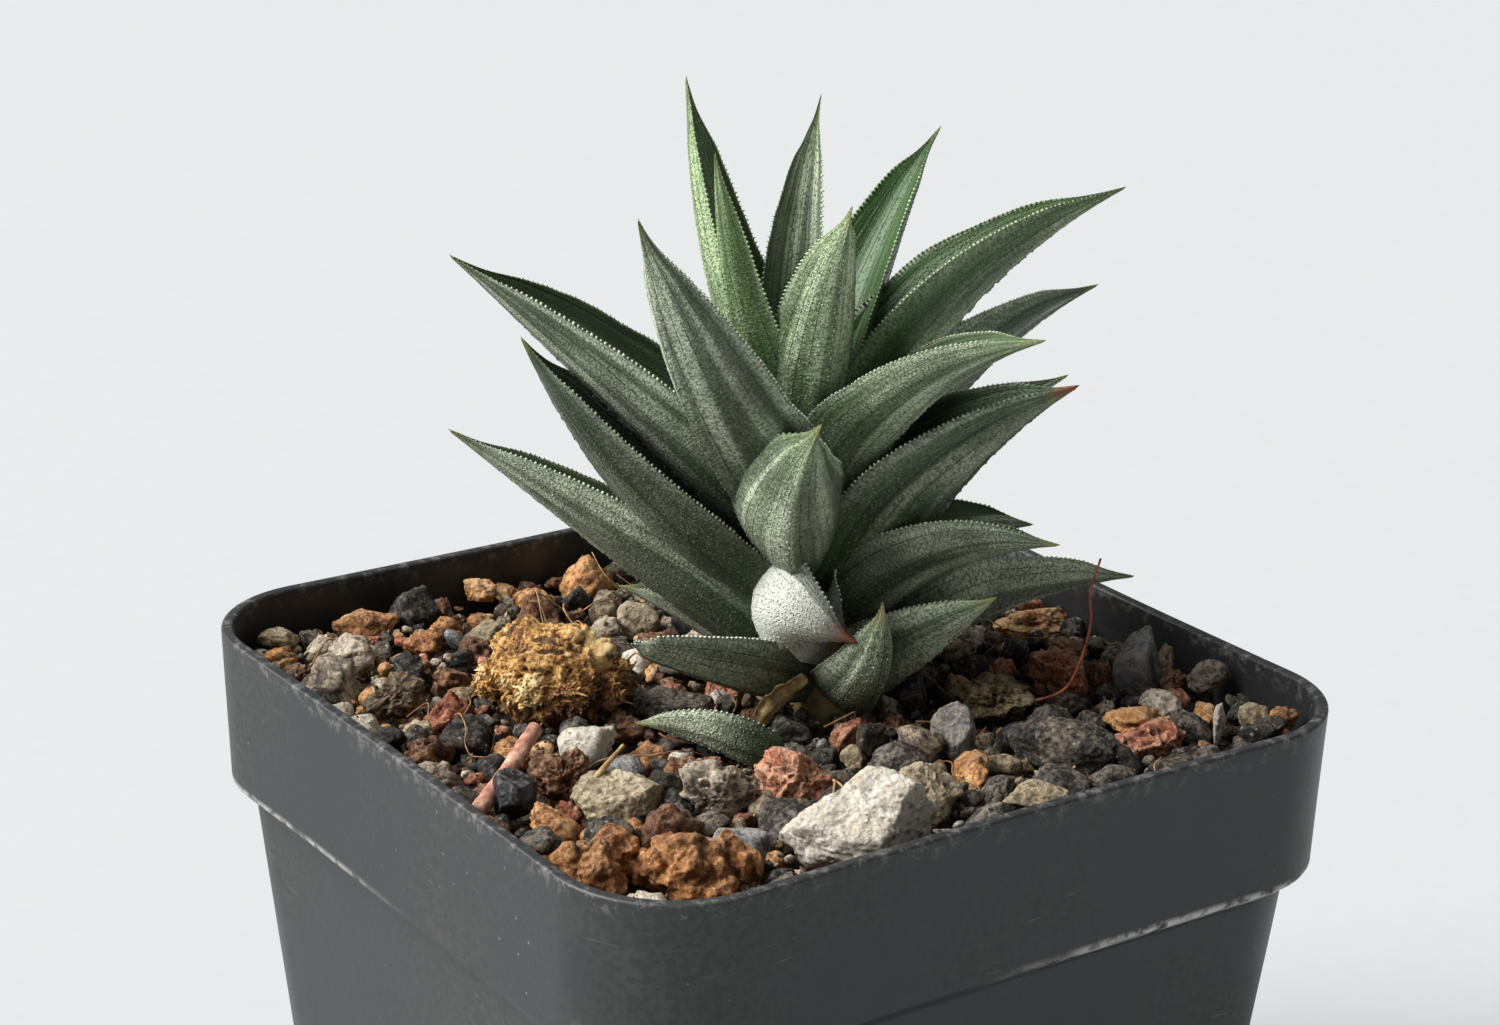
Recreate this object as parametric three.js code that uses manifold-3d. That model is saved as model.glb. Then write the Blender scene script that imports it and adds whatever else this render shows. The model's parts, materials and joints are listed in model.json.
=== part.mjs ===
// Potted haworthia: a small square nursery pot, filled with a loose mineral mix, in which a leaning
// rosette of thick, keeled and toothed leaves grows from a short stem with fleshy roots.
//
// Millimetres, +Z up. The origin is the middle of the pot's underside. The pot's nearest corner in the
// usual view is the one at -X -Y. Turns are degrees from +X towards +Y. Touching pieces keep a small gap.
import * as THREE from 'three';
import { mergeVertices } from 'three/addons/utils/BufferGeometryUtils.js';
import { ConvexGeometry } from 'three/addons/geometries/ConvexGeometry.js';
import Module from 'manifold-3d';

const wasm = await Module();
wasm.setup();

// ---- Driving dimensions ----

const GAP = 0.3;

const POT = {
  height: 70,
  rimHalf: 37.5,
  rimRounding: 0.3,
  cornerRadius: 10.5,
  collarHeight: 14.2,
  collarDraft: 0.375,
  ledgeInset: 1.54,
  ledgeHeight: 1.5,
  bodySlope: 0.086,
  footRounding: 0.9,
  wall: 1.1,
  floor: 1.5,
  holeRadius: 3.2,
  holeOffset: 17,
};
const CORNER_STEPS = 6;
const HOLE_SIDES = 12;

const MIX = {
  level: 65.2,
  tilt: -0.034,
  unevenness: 0.35,
  grid: 9,
  pitch: 7.9,
  jitter: 2,
  smallest: 2.8,
  largest: 4.8,
  narrowest: 0.7,
  widest: 0.95,
  flattest: 0.55,
  lift: 0.2,
  seed: 7,
};

// The stem leans a little back to the left as it rises. Leaf heights are measured from its foot, at soil
// level.
const STEM = {
  foot: new THREE.Vector3(6.4, -1.3, 66),
  crown: new THREE.Vector3(3.1, 1.0, 94),
  below: 5,
  above: -4,
  footRadius: 4.2,
  crownRadius: 1.9,
};

// A root runs out and then down; its places are shares of its spread and of its length. Every other one
// is shorter.
const ROOT = {
  count: 5,
  length: 34,
  spread: 17,
  startRadius: 1.4,
  endRadius: 0.6,
  firstTurn: 20,
  startUp: 2,
  shorter: 0.8,
  places: [{ out: 0.35, down: 0.12 }, { out: 0.75, down: 0.5 }, { out: 0.85, down: 1 }],
};

// ---- Colours ----

const finish = (color, roughness) => new THREE.MeshStandardMaterial({ color, roughness, metalness: 0 });
const FINISH = {
  pot: finish(0x3a3b3d, 0.5),
  mix: finish(0x4b4744, 0.95),
  leaf: finish(0x5c7060, 0.6),
  stem: finish(0x8a7a5a, 0.8),
  pumice: finish(0xd8d0c0, 0.95),
  lava: finish(0x8a4a38, 0.95),
  basalt: finish(0x45474a, 0.85),
  clay: finish(0xb0713c, 0.95),
  tan: finish(0x9a8468, 0.95),
  fibre: finish(0xb8935a, 0.95),
  bark: finish(0x3c332c, 0.95),
  twig: finish(0x9a6a58, 0.9),
};

// ---- Solids, joins and cuts ----

const toSolid = (geometry) => {
  const bare = geometry.clone();
  bare.deleteAttribute('normal');
  bare.deleteAttribute('uv');
  const merged = mergeVertices(bare, 1e-4);
  return new wasm.Manifold(new wasm.Mesh({
    numProp: 3,
    vertProperties: new Float32Array(merged.attributes.position.array),
    triVerts: new Uint32Array(merged.index.array),
  }));
};

const toGeometry = (solid) => {
  const { numProp, vertProperties, triVerts } = solid.getMesh();
  const corners = new Float32Array(triVerts.length * 3);
  triVerts.forEach((vertex, i) => {
    corners.set(vertProperties.subarray(vertex * numProp, vertex * numProp + 3), i * 3);
  });
  const geometry = new THREE.BufferGeometry();
  geometry.setAttribute('position', new THREE.BufferAttribute(corners, 3));
  geometry.computeVertexNormals();
  return geometry;
};

const largestBody = (solid) => {
  const bodies = solid.decompose().sort((a, b) => b.volume() - a.volume());
  return bodies[0];
};

// A copy of a geometry with every vertex moved out along its normal. A corner moves further than its
// faces do, so it goes out by more than the gap.
const CORNER_SWELL = 1.3;
const swollen = (geometry) => {
  const bare = geometry.clone();
  bare.deleteAttribute('normal');
  bare.deleteAttribute('uv');
  const merged = mergeVertices(bare, 1e-4);
  merged.computeVertexNormals();
  const { position, normal } = merged.attributes;
  for (let i = 0; i < position.count; i += 1) {
    const outward = new THREE.Vector3().fromBufferAttribute(normal, i);
    const point = new THREE.Vector3().fromBufferAttribute(position, i);
    point.addScaledVector(outward, CORNER_SWELL * GAP);
    position.setXYZ(i, point.x, point.y, point.z);
  }
  return merged;
};

// A closed skin through rings of points, each ring counter-clockwise seen from the last ring. It ends
// flat, or in a point where an apex is given.
const loft = (rings, apex) => {
  const corners = [];
  const face = (...points) => points.forEach((p) => corners.push(p.x, p.y, p.z));
  const sum = (ring) => ring.reduce((total, point) => total.add(point), new THREE.Vector3());
  const middle = (ring) => sum(ring).divideScalar(ring.length);
  const count = rings[0].length;
  const first = middle(rings[0]);
  const last = apex ?? middle(rings.at(-1));
  for (let j = 0; j < count; j += 1) {
    const k = (j + 1) % count;
    face(first, rings[0][k], rings[0][j]);
    for (let i = 1; i < rings.length; i += 1) {
      face(rings[i - 1][j], rings[i - 1][k], rings[i][k]);
      face(rings[i - 1][j], rings[i][k], rings[i][j]);
    }
    face(last, rings.at(-1)[j], rings.at(-1)[k]);
  }
  return new THREE.BufferGeometry().setAttribute('position', new THREE.Float32BufferAttribute(corners, 3));
};

// A seeded stream of numbers from 0 to 1.
const randomStream = (seed) => {
  let state = seed;
  return () => {
    state = (state + 0x6d2b79f5) % 4294967296;
    let t = Math.imul(state ^ (state >>> 15), 1 | state);
    t = (t + Math.imul(t ^ (t >>> 7), 61 | t)) ^ t;
    return ((t ^ (t >>> 14)) >>> 0) / 4294967296;
  };
};

const radians = THREE.MathUtils.degToRad;
const compass = (turn) => new THREE.Vector3(Math.cos(radians(turn)), Math.sin(radians(turn)), 0);

// ---- The pot ----

const roundedSquare = (half, radius, z) => {
  const points = [];
  for (let corner = 0; corner < 4; corner += 1) {
    for (let step = 0; step <= CORNER_STEPS; step += 1) {
      const centre = compass(45 + 90 * corner).multiplyScalar(Math.SQRT2 * (half - radius));
      const turn = 90 * corner + (90 * step) / CORNER_STEPS;
      points.push(centre.addScaledVector(compass(turn), radius).setZ(z));
    }
  }
  return points;
};

const ledgeTop = POT.height - POT.collarHeight;
const ledgeFoot = ledgeTop - POT.ledgeHeight;
const collarFootHalf = POT.rimHalf - POT.collarDraft;
const bodyTopHalf = collarFootHalf - POT.ledgeInset;
const bodyFootHalf = bodyTopHalf - POT.bodySlope * ledgeFoot;

// The pot's outer half width and corner radius at a height, drawn in by an inset.
const potOutline = (z, inset) => {
  let half = THREE.MathUtils.mapLinear(z, ledgeTop, POT.height, collarFootHalf, POT.rimHalf);
  if (z < ledgeTop) half = THREE.MathUtils.mapLinear(z, ledgeFoot, ledgeTop, bodyTopHalf, collarFootHalf);
  if (z < ledgeFoot) half = THREE.MathUtils.mapLinear(z, 0, ledgeFoot, bodyFootHalf, bodyTopHalf);
  return roundedSquare(half - inset, POT.cornerRadius - inset, z);
};

// The space inside the pot, drawn in by a clearance, from a height to a height.
const potInside = (clearance, from, to) => {
  const inset = POT.wall + clearance;
  const inner = (z) => potOutline(z, inset).map((p) => p.setZ(z - POT.wall / 2));
  const rings = [potOutline(from, inset), inner(ledgeFoot), inner(ledgeTop)];
  return [...rings, potOutline(Math.min(to, POT.height), inset).map((p) => p.setZ(to))];
};

const makePot = () => {
  const outer = loft([
    potOutline(0, POT.footRounding),
    potOutline(POT.footRounding, 0),
    potOutline(ledgeFoot, 0),
    potOutline(ledgeTop, 0),
    potOutline(POT.height - POT.rimRounding, 0),
    potOutline(POT.height, POT.rimRounding),
  ]);
  let pot = toSolid(outer).subtract(toSolid(loft(potInside(0, POT.floor, POT.height + 1))));
  for (let corner = 0; corner < 4; corner += 1) {
    const hole = new THREE.CylinderGeometry(POT.holeRadius, POT.holeRadius, 4 * POT.floor, HOLE_SIDES);
    hole.rotateX(Math.PI / 2);
    const place = compass(45 + 90 * corner).multiplyScalar(Math.SQRT2 * POT.holeOffset);
    hole.translate(place.x, place.y, 0);
    pot = pot.subtract(toSolid(hole));
  }
  return pot;
};

// ---- Stem and roots ----

const stemPoint = (height) => {
  const rise = STEM.crown.z - STEM.foot.z;
  return STEM.foot.clone().lerp(STEM.crown, height / rise);
};

// A round rod along a curve, thinning from one radius to the other.
const rod = (curve, startRadius, endRadius, sides, steps) => {
  const rings = [];
  const frames = curve.computeFrenetFrames(steps);
  for (let i = 0; i <= steps; i += 1) {
    const centre = curve.getPointAt(i / steps);
    const radius = THREE.MathUtils.lerp(startRadius, endRadius, i / steps);
    rings.push(Array.from({ length: sides }, (_, j) => {
      const angle = (2 * Math.PI * j) / sides;
      return centre.clone()
        .addScaledVector(frames.normals[i], radius * Math.cos(angle))
        .addScaledVector(frames.binormals[i], radius * Math.sin(angle));
    }));
  }
  return loft(rings);
};

const stemHeight = STEM.crown.z - STEM.foot.z;
const stemCurve = new THREE.CatmullRomCurve3([
  stemPoint(-STEM.below),
  stemPoint(stemHeight / 2),
  stemPoint(stemHeight + STEM.above),
]);

const rootCurve = (index) => {
  const outward = compass((360 * index) / ROOT.count + ROOT.firstTurn);
  const start = stemPoint(ROOT.startUp - STEM.below);
  const length = ROOT.length * (index % 2 ? 1 : ROOT.shorter);
  const points = ROOT.places.map(({ out, down }) => (
    start.clone().addScaledVector(outward, out * ROOT.spread).setZ(start.z - down * length)));
  return new THREE.CatmullRomCurve3([start, ...points]);
};

const stemAndRootParts = () => {
  const parts = [rod(stemCurve, STEM.footRadius, STEM.crownRadius, 8, 2)];
  for (let i = 0; i < ROOT.count; i += 1) {
    parts.push(rod(rootCurve(i), ROOT.startRadius, ROOT.endRadius, 5, 5));
  }
  return parts;
};

// ---- Leaves ----

const LEAF_STEPS = 10;
const TOOTH = 0.14;
const USUAL_FOLD = 0.5;

// The leaf's depth under its margins: a share of its width, a little less at the base, thinning to its tip.
const DEPTH_SHARE = 0.47;
const DEPTH_AT_BASE = 0.8;
const DEPTH_TAPER = 1.6;
const THINNEST = 0.12;
const leafDepth = (width, t) => (
  DEPTH_SHARE * width * (1 - t ** DEPTH_TAPER) * Math.min(DEPTH_AT_BASE + t, 1) + THINNEST);

// Half the leaf's width, as a share of its greatest, from its base at 0 to its tip at 1.
const BASE_WIDTH = 0.5;
const WIDEST_AT = 0.35;
const leafWidth = (t) => (t < WIDEST_AT
  ? BASE_WIDTH + (1 - BASE_WIDTH) * Math.sin((Math.PI / 2) * (t / WIDEST_AT))
  : 1 - ((t - WIDEST_AT) / (1 - WIDEST_AT)) ** 1.7);

// The cut across a leaf: across is a share of the half width, up of the channel's depth, down of the
// leaf's depth.
const LEAF_SECTION = [
  { across: 1, up: 1, down: 0 },
  { across: 0.42, up: 0.3, down: 0 },
  { across: -0.42, up: 0.3, down: 0 },
  { across: -1, up: 1, down: 0 },
  { across: -0.78, up: 0.35, down: 0.46 },
  { across: 0, up: 0, down: 1 },
  { across: 0.78, up: 0.35, down: 0.46 },
];

// Each leaf grows from the stem at a height, towards a turn, and its tip is a reach out and a rise up
// from there. arch bows it upwards and sweep sideways; twist rolls it about its own length; fold is its
// channel's depth as a share of its half width.
const LEAVES = [
  {
    name: 'leaf_crown_inner',
    height: 23, turn: 171, reach: 8.2, rise: 26.2, arch: -1, width: 5.5, fold: 0.4,
  },
  {
    name: 'leaf_crown_tall',
    height: 21, turn: 131, reach: 10.6, rise: 33.2, arch: -1.5, width: 6.5, twist: -25, fold: 0.75,
  },
  { name: 'leaf_crown_front', height: 21, turn: -104, reach: 10, rise: 25.4, arch: 1.5, width: 8.5 },
  {
    name: 'leaf_crown_back',
    height: 20, turn: 46, reach: 5.9, rise: 32.2, arch: 1, sweep: 1.2, width: 6.5, fold: 0.6,
  },
  { name: 'leaf_crown_right', height: 20, turn: 21, reach: 21, rise: 26.9, arch: 1.5, sweep: 1, width: 8 },
  {
    name: 'leaf_upper_right',
    height: 18, turn: -19, reach: 28.1, rise: 26.1, arch: 4.8, width: 9, twist: -6, fold: 0.75,
  },
  {
    name: 'leaf_upper_left',
    height: 18, turn: -169, reach: 20.1, rise: 28.3, arch: -1.5, width: 12, fold: 0.3,
  },
  { name: 'leaf_upper_front', height: 18, turn: -69, reach: 22.9, rise: 18.4, arch: 3.5, width: 9 },
  { name: 'leaf_upper_back', height: 15, turn: 84, reach: 19, rise: 14, arch: 2, width: 9 },
  {
    name: 'leaf_shoulder_front',
    height: 14.5, turn: -122, reach: 12, rise: 14.2, arch: -1.5, sweep: -2.5, width: 11.5, fold: 0.6,
  },
  {
    name: 'leaf_shoulder_left',
    height: 14, turn: 156, reach: 31, rise: 26.7, arch: 1, width: 9.5, twist: -13, fold: 0.75,
  },
  {
    name: 'leaf_shoulder_right',
    height: 14, turn: -2, reach: 30.3, rise: 18.9, arch: 4.5, width: 9, twist: -28, fold: 0.6,
  },
  { name: 'leaf_shoulder_back', height: 13, turn: 48, reach: 17, rise: 15, arch: 3, width: 9 },
  { name: 'leaf_middle_right_behind', height: 12, turn: 4, reach: 29.7, rise: 11.7, arch: 2, width: 8 },
  { name: 'leaf_middle_left_behind', height: 10, turn: 116, reach: 17.1, rise: 14.3, arch: 2, width: 9 },
  {
    name: 'leaf_middle_front',
    height: 9, turn: -44, reach: 21.8, rise: 20.7, arch: 3, width: 11.5, twist: 4, fold: 0.7,
  },
  {
    name: 'leaf_middle_left',
    height: 8, turn: 156, reach: 26, rise: 25.5, arch: -2, width: 9.5, twist: -20, fold: 0.8,
  },
  { name: 'leaf_middle_right', height: 8, turn: -4, reach: 22.6, rise: 3.7, arch: 3, width: 9 },
  { name: 'leaf_middle_back', height: 8, turn: 74, reach: 23, rise: 10, arch: 2, width: 9 },
  { name: 'leaf_middle_back_right', height: 8, turn: 32, reach: 24, rise: 9, arch: 2, width: 9 },
  {
    name: 'leaf_low_front_right',
    height: 6, turn: -54, reach: 21, rise: 10.6, arch: 3.5, width: 9, twist: -20,
  },
  {
    name: 'leaf_low_recurved',
    height: 6, turn: -105, reach: 8.6, rise: 1.8, arch: 2.6, sweep: -4.2, width: 11, twist: -25, fold: 1.15,
  },
  { name: 'leaf_low_back_left', height: 4, turn: 106, reach: 21.1, rise: 7.7, arch: 1.5, width: 9 },
  {
    name: 'leaf_low_left',
    height: 3.5, turn: 146, reach: 32.8, rise: 20.3, arch: 0.5, width: 9, twist: 10, fold: 0.6,
  },
  { name: 'leaf_low_right', height: 3, turn: -26, reach: 27.5, rise: 6.7, arch: 3, width: 9, twist: -25 },
  { name: 'leaf_low_back', height: 3, turn: 54, reach: 23, rise: 6, arch: 2, width: 9 },
  {
    name: 'leaf_base_left',
    height: 1.8, turn: -179, reach: 23.6, rise: 8.1, width: 7.2, twist: 25, fold: 0.4,
  },
  { name: 'leaf_base_back_right', height: 2, turn: 18, reach: 22, rise: 5, arch: 1.5, width: 9 },
  {
    name: 'leaf_base_short',
    height: 1, turn: -97, reach: 9, rise: 10.6, arch: -2.6, width: 7.3, twist: 12, fold: 0.6,
  },
  { name: 'leaf_base_right', height: 1.3, turn: -59, reach: 15.4, rise: 10.3, width: 8.2, twist: -25 },
  { name: 'leaf_base_back_left', height: 1, turn: 126, reach: 20, rise: 6, arch: 1.5, width: 8.5 },
];

// A fallen leaf that lies half sunk in the mix, given by its own base point.
const FALLEN_LEAF = {
  name: 'leaf_fallen',
  base: new THREE.Vector3(-4.6, -9.4, 66),
  turn: 141,
  reach: 12.4,
  rise: 1.8,
  arch: 1,
  width: 5.5,
  twist: 35,
  fold: 0.3,
};

const leafGeometry = (leaf) => {
  const { turn, reach, rise, width, arch = 0, sweep = 0, twist = 0, fold = USUAL_FOLD } = leaf;
  const base = leaf.base ?? stemPoint(leaf.height);
  const outward = compass(turn);
  const sideways = compass(turn + 90);
  const tip = base.clone().addScaledVector(outward, reach).setZ(base.z + rise);
  const chord = tip.clone().sub(base).normalize();
  const upward = new THREE.Vector3().crossVectors(chord, sideways);
  const bend = base.clone().lerp(tip, 0.5);
  bend.addScaledVector(upward, 2 * arch).addScaledVector(sideways, 2 * sweep);
  const midline = new THREE.QuadraticBezierCurve3(base, bend, tip);
  const roll = radians(twist);
  const rings = [];
  for (let i = 0; i < LEAF_STEPS; i += 1) {
    const t = i / LEAF_STEPS;
    const along = midline.getTangent(t);
    const flatSide = sideways.clone().addScaledVector(along, -sideways.dot(along)).normalize();
    const flatUp = new THREE.Vector3().crossVectors(along, flatSide);
    const side = flatSide.clone().multiplyScalar(Math.cos(roll)).addScaledVector(flatUp, Math.sin(roll));
    const up = flatUp.clone().multiplyScalar(Math.cos(roll)).addScaledVector(flatSide, -Math.sin(roll));
    const half = (width / 2) * leafWidth(t);
    const tooth = i % 2 ? TOOTH : -TOOTH / 2;
    const depth = leafDepth(width, t);
    rings.push(LEAF_SECTION.map(({ across, up: rises, down }) => midline.getPoint(t)
      .addScaledVector(side, across * (half + Math.abs(across) ** 4 * tooth))
      .addScaledVector(up, rises * fold * half - down * depth)));
  }
  return loft(rings, tip);
};

// ---- Stones and dried matter ----

const mixSurface = (x, y) => MIX.level + MIX.tilt * x
  + MIX.unevenness * (Math.sin(0.31 * x + 1.3) + Math.cos(0.27 * y - 0.4));

const GOLDEN_ANGLE = 137.5;
const CHIP = { corners: 11, smallCorners: 7, turnSpread: 70, nearest: 0.85, furthest: 1.15 };

// A chip with flat faces: the hull of corners strewn over an ellipsoid of the full size given.
const chip = (random, size, corners = CHIP.corners) => {
  const strewn = Array.from({ length: corners }, (_, i) => {
    const z = 1 - (2 * i + 1) / corners;
    const turn = i * GOLDEN_ANGLE + CHIP.turnSpread * random();
    const reach = THREE.MathUtils.lerp(CHIP.nearest, CHIP.furthest, random());
    const way = compass(turn).multiplyScalar(Math.sqrt(1 - z * z)).setZ(z);
    return way.multiply(size).multiplyScalar(reach / 2);
  });
  return new ConvexGeometry(strewn);
};

// A lump with a rough, pitted surface: a ball whose corners stand in and out by a roughness.
const lump = (random, size, roughness, detail = 1) => {
  const ball = new THREE.IcosahedronGeometry(0.5, detail);
  ball.deleteAttribute('normal');
  ball.deleteAttribute('uv');
  const merged = mergeVertices(ball, 1e-4);
  const { position } = merged.attributes;
  for (let i = 0; i < position.count; i += 1) {
    const point = new THREE.Vector3().fromBufferAttribute(position, i);
    point.multiplyScalar(1 + roughness * (2 * random() - 1)).multiply(size);
    position.setXYZ(i, point.x, point.y, point.z);
  }
  return merged;
};

// The cluster's core and grains, as shares of its full size, and how far the grains stand aside and up
// from it.
const CLUSTER = {
  grains: 6,
  core: new THREE.Vector3(0.9, 0.6, 0.7),
  grain: new THREE.Vector3(0.36, 0.6, 0.8),
  spread: new THREE.Vector3(0.8, 0.2, 0.08),
};

// A cluster of baked grains: rough lumps strung along its length and stuck together.
const cluster = (random, size, roughness) => {
  const grain = size.clone().multiply(CLUSTER.grain);
  const spread = size.clone().multiply(CLUSTER.spread);
  let whole = toSolid(lump(random, size.clone().multiply(CLUSTER.core), roughness, 0));
  for (let i = 0; i < CLUSTER.grains; i += 1) {
    const stone = lump(random, grain, roughness, 0);
    const along = (i + 0.5) / CLUSTER.grains - 0.5;
    stone.translate(along * spread.x, i % 2 ? spread.y : -spread.y, random() * spread.z);
    whole = whole.add(toSolid(stone));
  }
  return toGeometry(whole);
};

// The clump's torn fibres stand all over it, down to a share of its height, rooted at a share of its size.
const FIBRE = {
  count: 18, lowest: -0.4, rootShare: 0.36, radius: 1.9, shortest: 3, longest: 5.4, raised: 1,
};

// A ragged lump: a rough core, with torn fibres standing out of it all round.
const raggedLump = (random, size, roughness) => {
  let clump = toSolid(lump(random, size, roughness));
  for (let i = 0; i < FIBRE.count; i += 1) {
    const z = THREE.MathUtils.lerp(1, FIBRE.lowest, i / FIBRE.count);
    const outward = compass(i * GOLDEN_ANGLE).multiplyScalar(Math.sqrt(1 - z * z)).setZ(z);
    const root = outward.clone().multiply(size).multiplyScalar(FIBRE.rootShare);
    const length = THREE.MathUtils.lerp(FIBRE.shortest, FIBRE.longest, random());
    const fibre = new THREE.ConeGeometry(FIBRE.radius, length, 3);
    fibre.translate(0, FIBRE.raised, 0);
    fibre.applyQuaternion(new THREE.Quaternion().setFromUnitVectors(new THREE.Vector3(0, 1, 0), outward));
    fibre.translate(root.x, root.y, root.z);
    clump = clump.add(toSolid(fibre));
  }
  return toGeometry(clump);
};

// Loose pieces that lie in the top of the mix. at is the middle, size the full length, depth and height,
// rough how far the surface stands in and out, and turn the way the length points.
const VIEW_ACROSS = -34;
const LOOSE = [
  {
    name: 'pumice_white', finish: 'pumice', make: lump,
    at: [-10.9, -29.6, 68.2], size: [13, 9, 9.5], rough: 0.13,
  },
  {
    name: 'clay_cluster', finish: 'clay', make: cluster,
    at: [-27.4, -25.2, 67.6], size: [17, 9, 6.5], rough: 0.1,
  },
  {
    name: 'lava_red_front', finish: 'lava', make: lump,
    at: [-8.3, -17.2, 67], size: [7.6, 6, 6.5], rough: 0.14,
  },
  { name: 'basalt_rough', finish: 'basalt', make: chip, at: [-15.8, -15.9, 67], size: [7.4, 6.4, 6.6] },
  { name: 'stone_tan', finish: 'tan', make: chip, at: [-22.7, -12.7, 66.8], size: [8, 6, 5] },
  {
    name: 'lava_brown', finish: 'lava', make: lump,
    at: [-24.6, -6.8, 67], size: [6, 5.5, 5.5], rough: 0.14,
  },
  { name: 'chip_glassy', finish: 'basalt', make: chip, at: [-29.9, -8.2, 67.3], size: [3.8, 4, 5] },
  { name: 'slate_standing', finish: 'basalt', make: chip, at: [31.4, -13.6, 67.2], size: [4.6, 2.8, 7.4] },
  { name: 'basalt_right', finish: 'basalt', make: chip, at: [15.1, -22.6, 65.8], size: [9.4, 7, 6.6] },
  {
    name: 'lava_red_right', finish: 'lava', make: lump,
    at: [23.9, -24.2, 65.4], size: [7.4, 6, 5], rough: 0.14,
  },
  {
    name: 'lava_red_back', finish: 'lava', make: lump,
    at: [25.9, -9.4, 65.9], size: [6, 5.4, 5], rough: 0.14,
  },
  { name: 'slate_front', finish: 'basalt', make: chip, at: [8.1, -16.5, 66.4], size: [4.2, 3.4, 7.4] },
  { name: 'slate_flat', finish: 'basalt', make: chip, at: [-8.4, 2.6, 66.6], size: [8.6, 5, 2.8] },
  { name: 'stone_brown', finish: 'tan', make: chip, at: [-0.9, -24.9, 66.6], size: [6.2, 5, 5.8] },
  {
    name: 'clay_orange', finish: 'clay', make: lump,
    at: [31.6, 1.6, 65.8], size: [7.4, 5.4, 4.4], rough: 0.14,
  },
  { name: 'bark_dark', finish: 'bark', make: chip, at: [-27.5, 15.8, 66.9], size: [8.4, 4.2, 4], turn: 20 },
  {
    name: 'mossy_chunk', finish: 'bark', make: lump,
    at: [16.8, -11.2, 66.6], size: [8, 5, 4.4], rough: 0.2,
  },
  {
    name: 'fibre_clump', finish: 'fibre', make: raggedLump,
    at: [-16.9, 7, 69.6], size: [15, 13, 11], rough: 0.12,
  },
];

const looseGeometry = ({ make, at, size, rough, turn = VIEW_ACROSS }, index) => {
  const geometry = make(randomStream(100 + index), new THREE.Vector3(...size), rough);
  geometry.rotateZ(radians(turn));
  geometry.translate(...at);
  return geometry;
};

// Thin things that lie on the mix or stand up out of it, each a rod along a hand-laid curve.
const vectors = (points) => points.map((p) => new THREE.Vector3(...p));
const RODS = [
  {
    name: 'twig_pink',
    finish: 'twig',
    through: [[-33.1, -7.9, 66.6], [-30, -6.1, 67.8], [-26.9, -4.1, 69], [-24.4, -2.4, 69.9]],
    radii: [0.75, 0.65],
    sides: 6,
    steps: 5,
  },
  {
    name: 'twig_thin',
    finish: 'fibre',
    through: [[-26, -11.7, 67.4], [-23.5, -11, 69], [-20.7, -10.1, 70.4]],
    radii: [0.4, 0.3],
    sides: 6,
    steps: 4,
  },
  {
    name: 'rootlet',
    finish: 'twig',
    through: [
      [17.8, -13.8, 66.6], [21.3, -15, 67.4], [22.5, -15.8, 69.9], [23.1, -16.4, 73.9], [23.2, -16, 76.6],
      [24.5, -15.6, 79.4],
    ],
    radii: [0.32, 0.3],
    sides: 5,
    steps: 10,
  },
  {
    name: 'dry_scrap',
    finish: 'fibre',
    through: [[-4.4, -6, 66.6], [-2.6, -5.6, 67.8], [-0.6, -5.1, 68.6], [1.4, -4.7, 69.3]],
    radii: [1.1, 0.6],
    sides: 6,
    steps: 5,
  },
];

const rodGeometry = ({ through, radii, sides, steps }) => (
  rod(new THREE.CatmullRomCurve3(vectors(through)), ...radii, sides, steps));

// ---- The mix ----

const MIX_RING_SHARES = [1, 0.7, 0.35];

// The space that pieces in the pot may fill, up to well above the rim.
const fillable = toSolid(loft(potInside(GAP, POT.floor + GAP, POT.height + 20)));

const makeMix = (occupied) => {
  const inside = potInside(GAP, POT.floor + GAP, MIX.level);
  const sides = inside.slice(0, -1);
  const rim = inside.at(-1);
  const tops = MIX_RING_SHARES.map((share) => rim.map((p) => (
    new THREE.Vector3(p.x * share, p.y * share, mixSurface(p.x * share, p.y * share)))));
  let mix = toSolid(loft([...sides, ...tops]));
  const random = randomStream(MIX.seed);
  const first = (-(MIX.grid - 1) / 2) * MIX.pitch;
  for (let i = 0; i < MIX.grid; i += 1) {
    for (let j = 0; j < MIX.grid; j += 1) {
      const x = first + i * MIX.pitch + MIX.jitter * (2 * random() - 1);
      const y = first + j * MIX.pitch + MIX.jitter * (2 * random() - 1);
      const radius = THREE.MathUtils.lerp(MIX.smallest, MIX.largest, random() ** 2);
      const depth = THREE.MathUtils.lerp(MIX.narrowest, MIX.widest, random());
      const height = THREE.MathUtils.lerp(MIX.flattest, 1, random());
      const size = new THREE.Vector3(1, depth, height).multiplyScalar(2 * radius);
      const stone = chip(random, size, CHIP.smallCorners);
      stone.rotateZ(2 * Math.PI * random());
      stone.translate(x, y, mixSurface(x, y) + MIX.lift);
      mix = mix.add(toSolid(stone));
    }
  }
  return largestBody(mix.intersect(fillable).subtract(occupied));
};

// ---- The whole ----

const haworthia = new THREE.Group();
const place = (name, solid, finishName) => {
  const mesh = new THREE.Mesh(toGeometry(solid), FINISH[finishName]);
  mesh.name = name;
  haworthia.add(mesh);
};

place('pot', makePot(), 'pot');

const stemParts = stemAndRootParts();
place('stem_and_roots', stemParts.map(toSolid).reduce((whole, part) => whole.add(part)), 'stem');
let occupied = stemParts.map((part) => toSolid(swollen(part))).reduce((whole, part) => whole.add(part));

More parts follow.
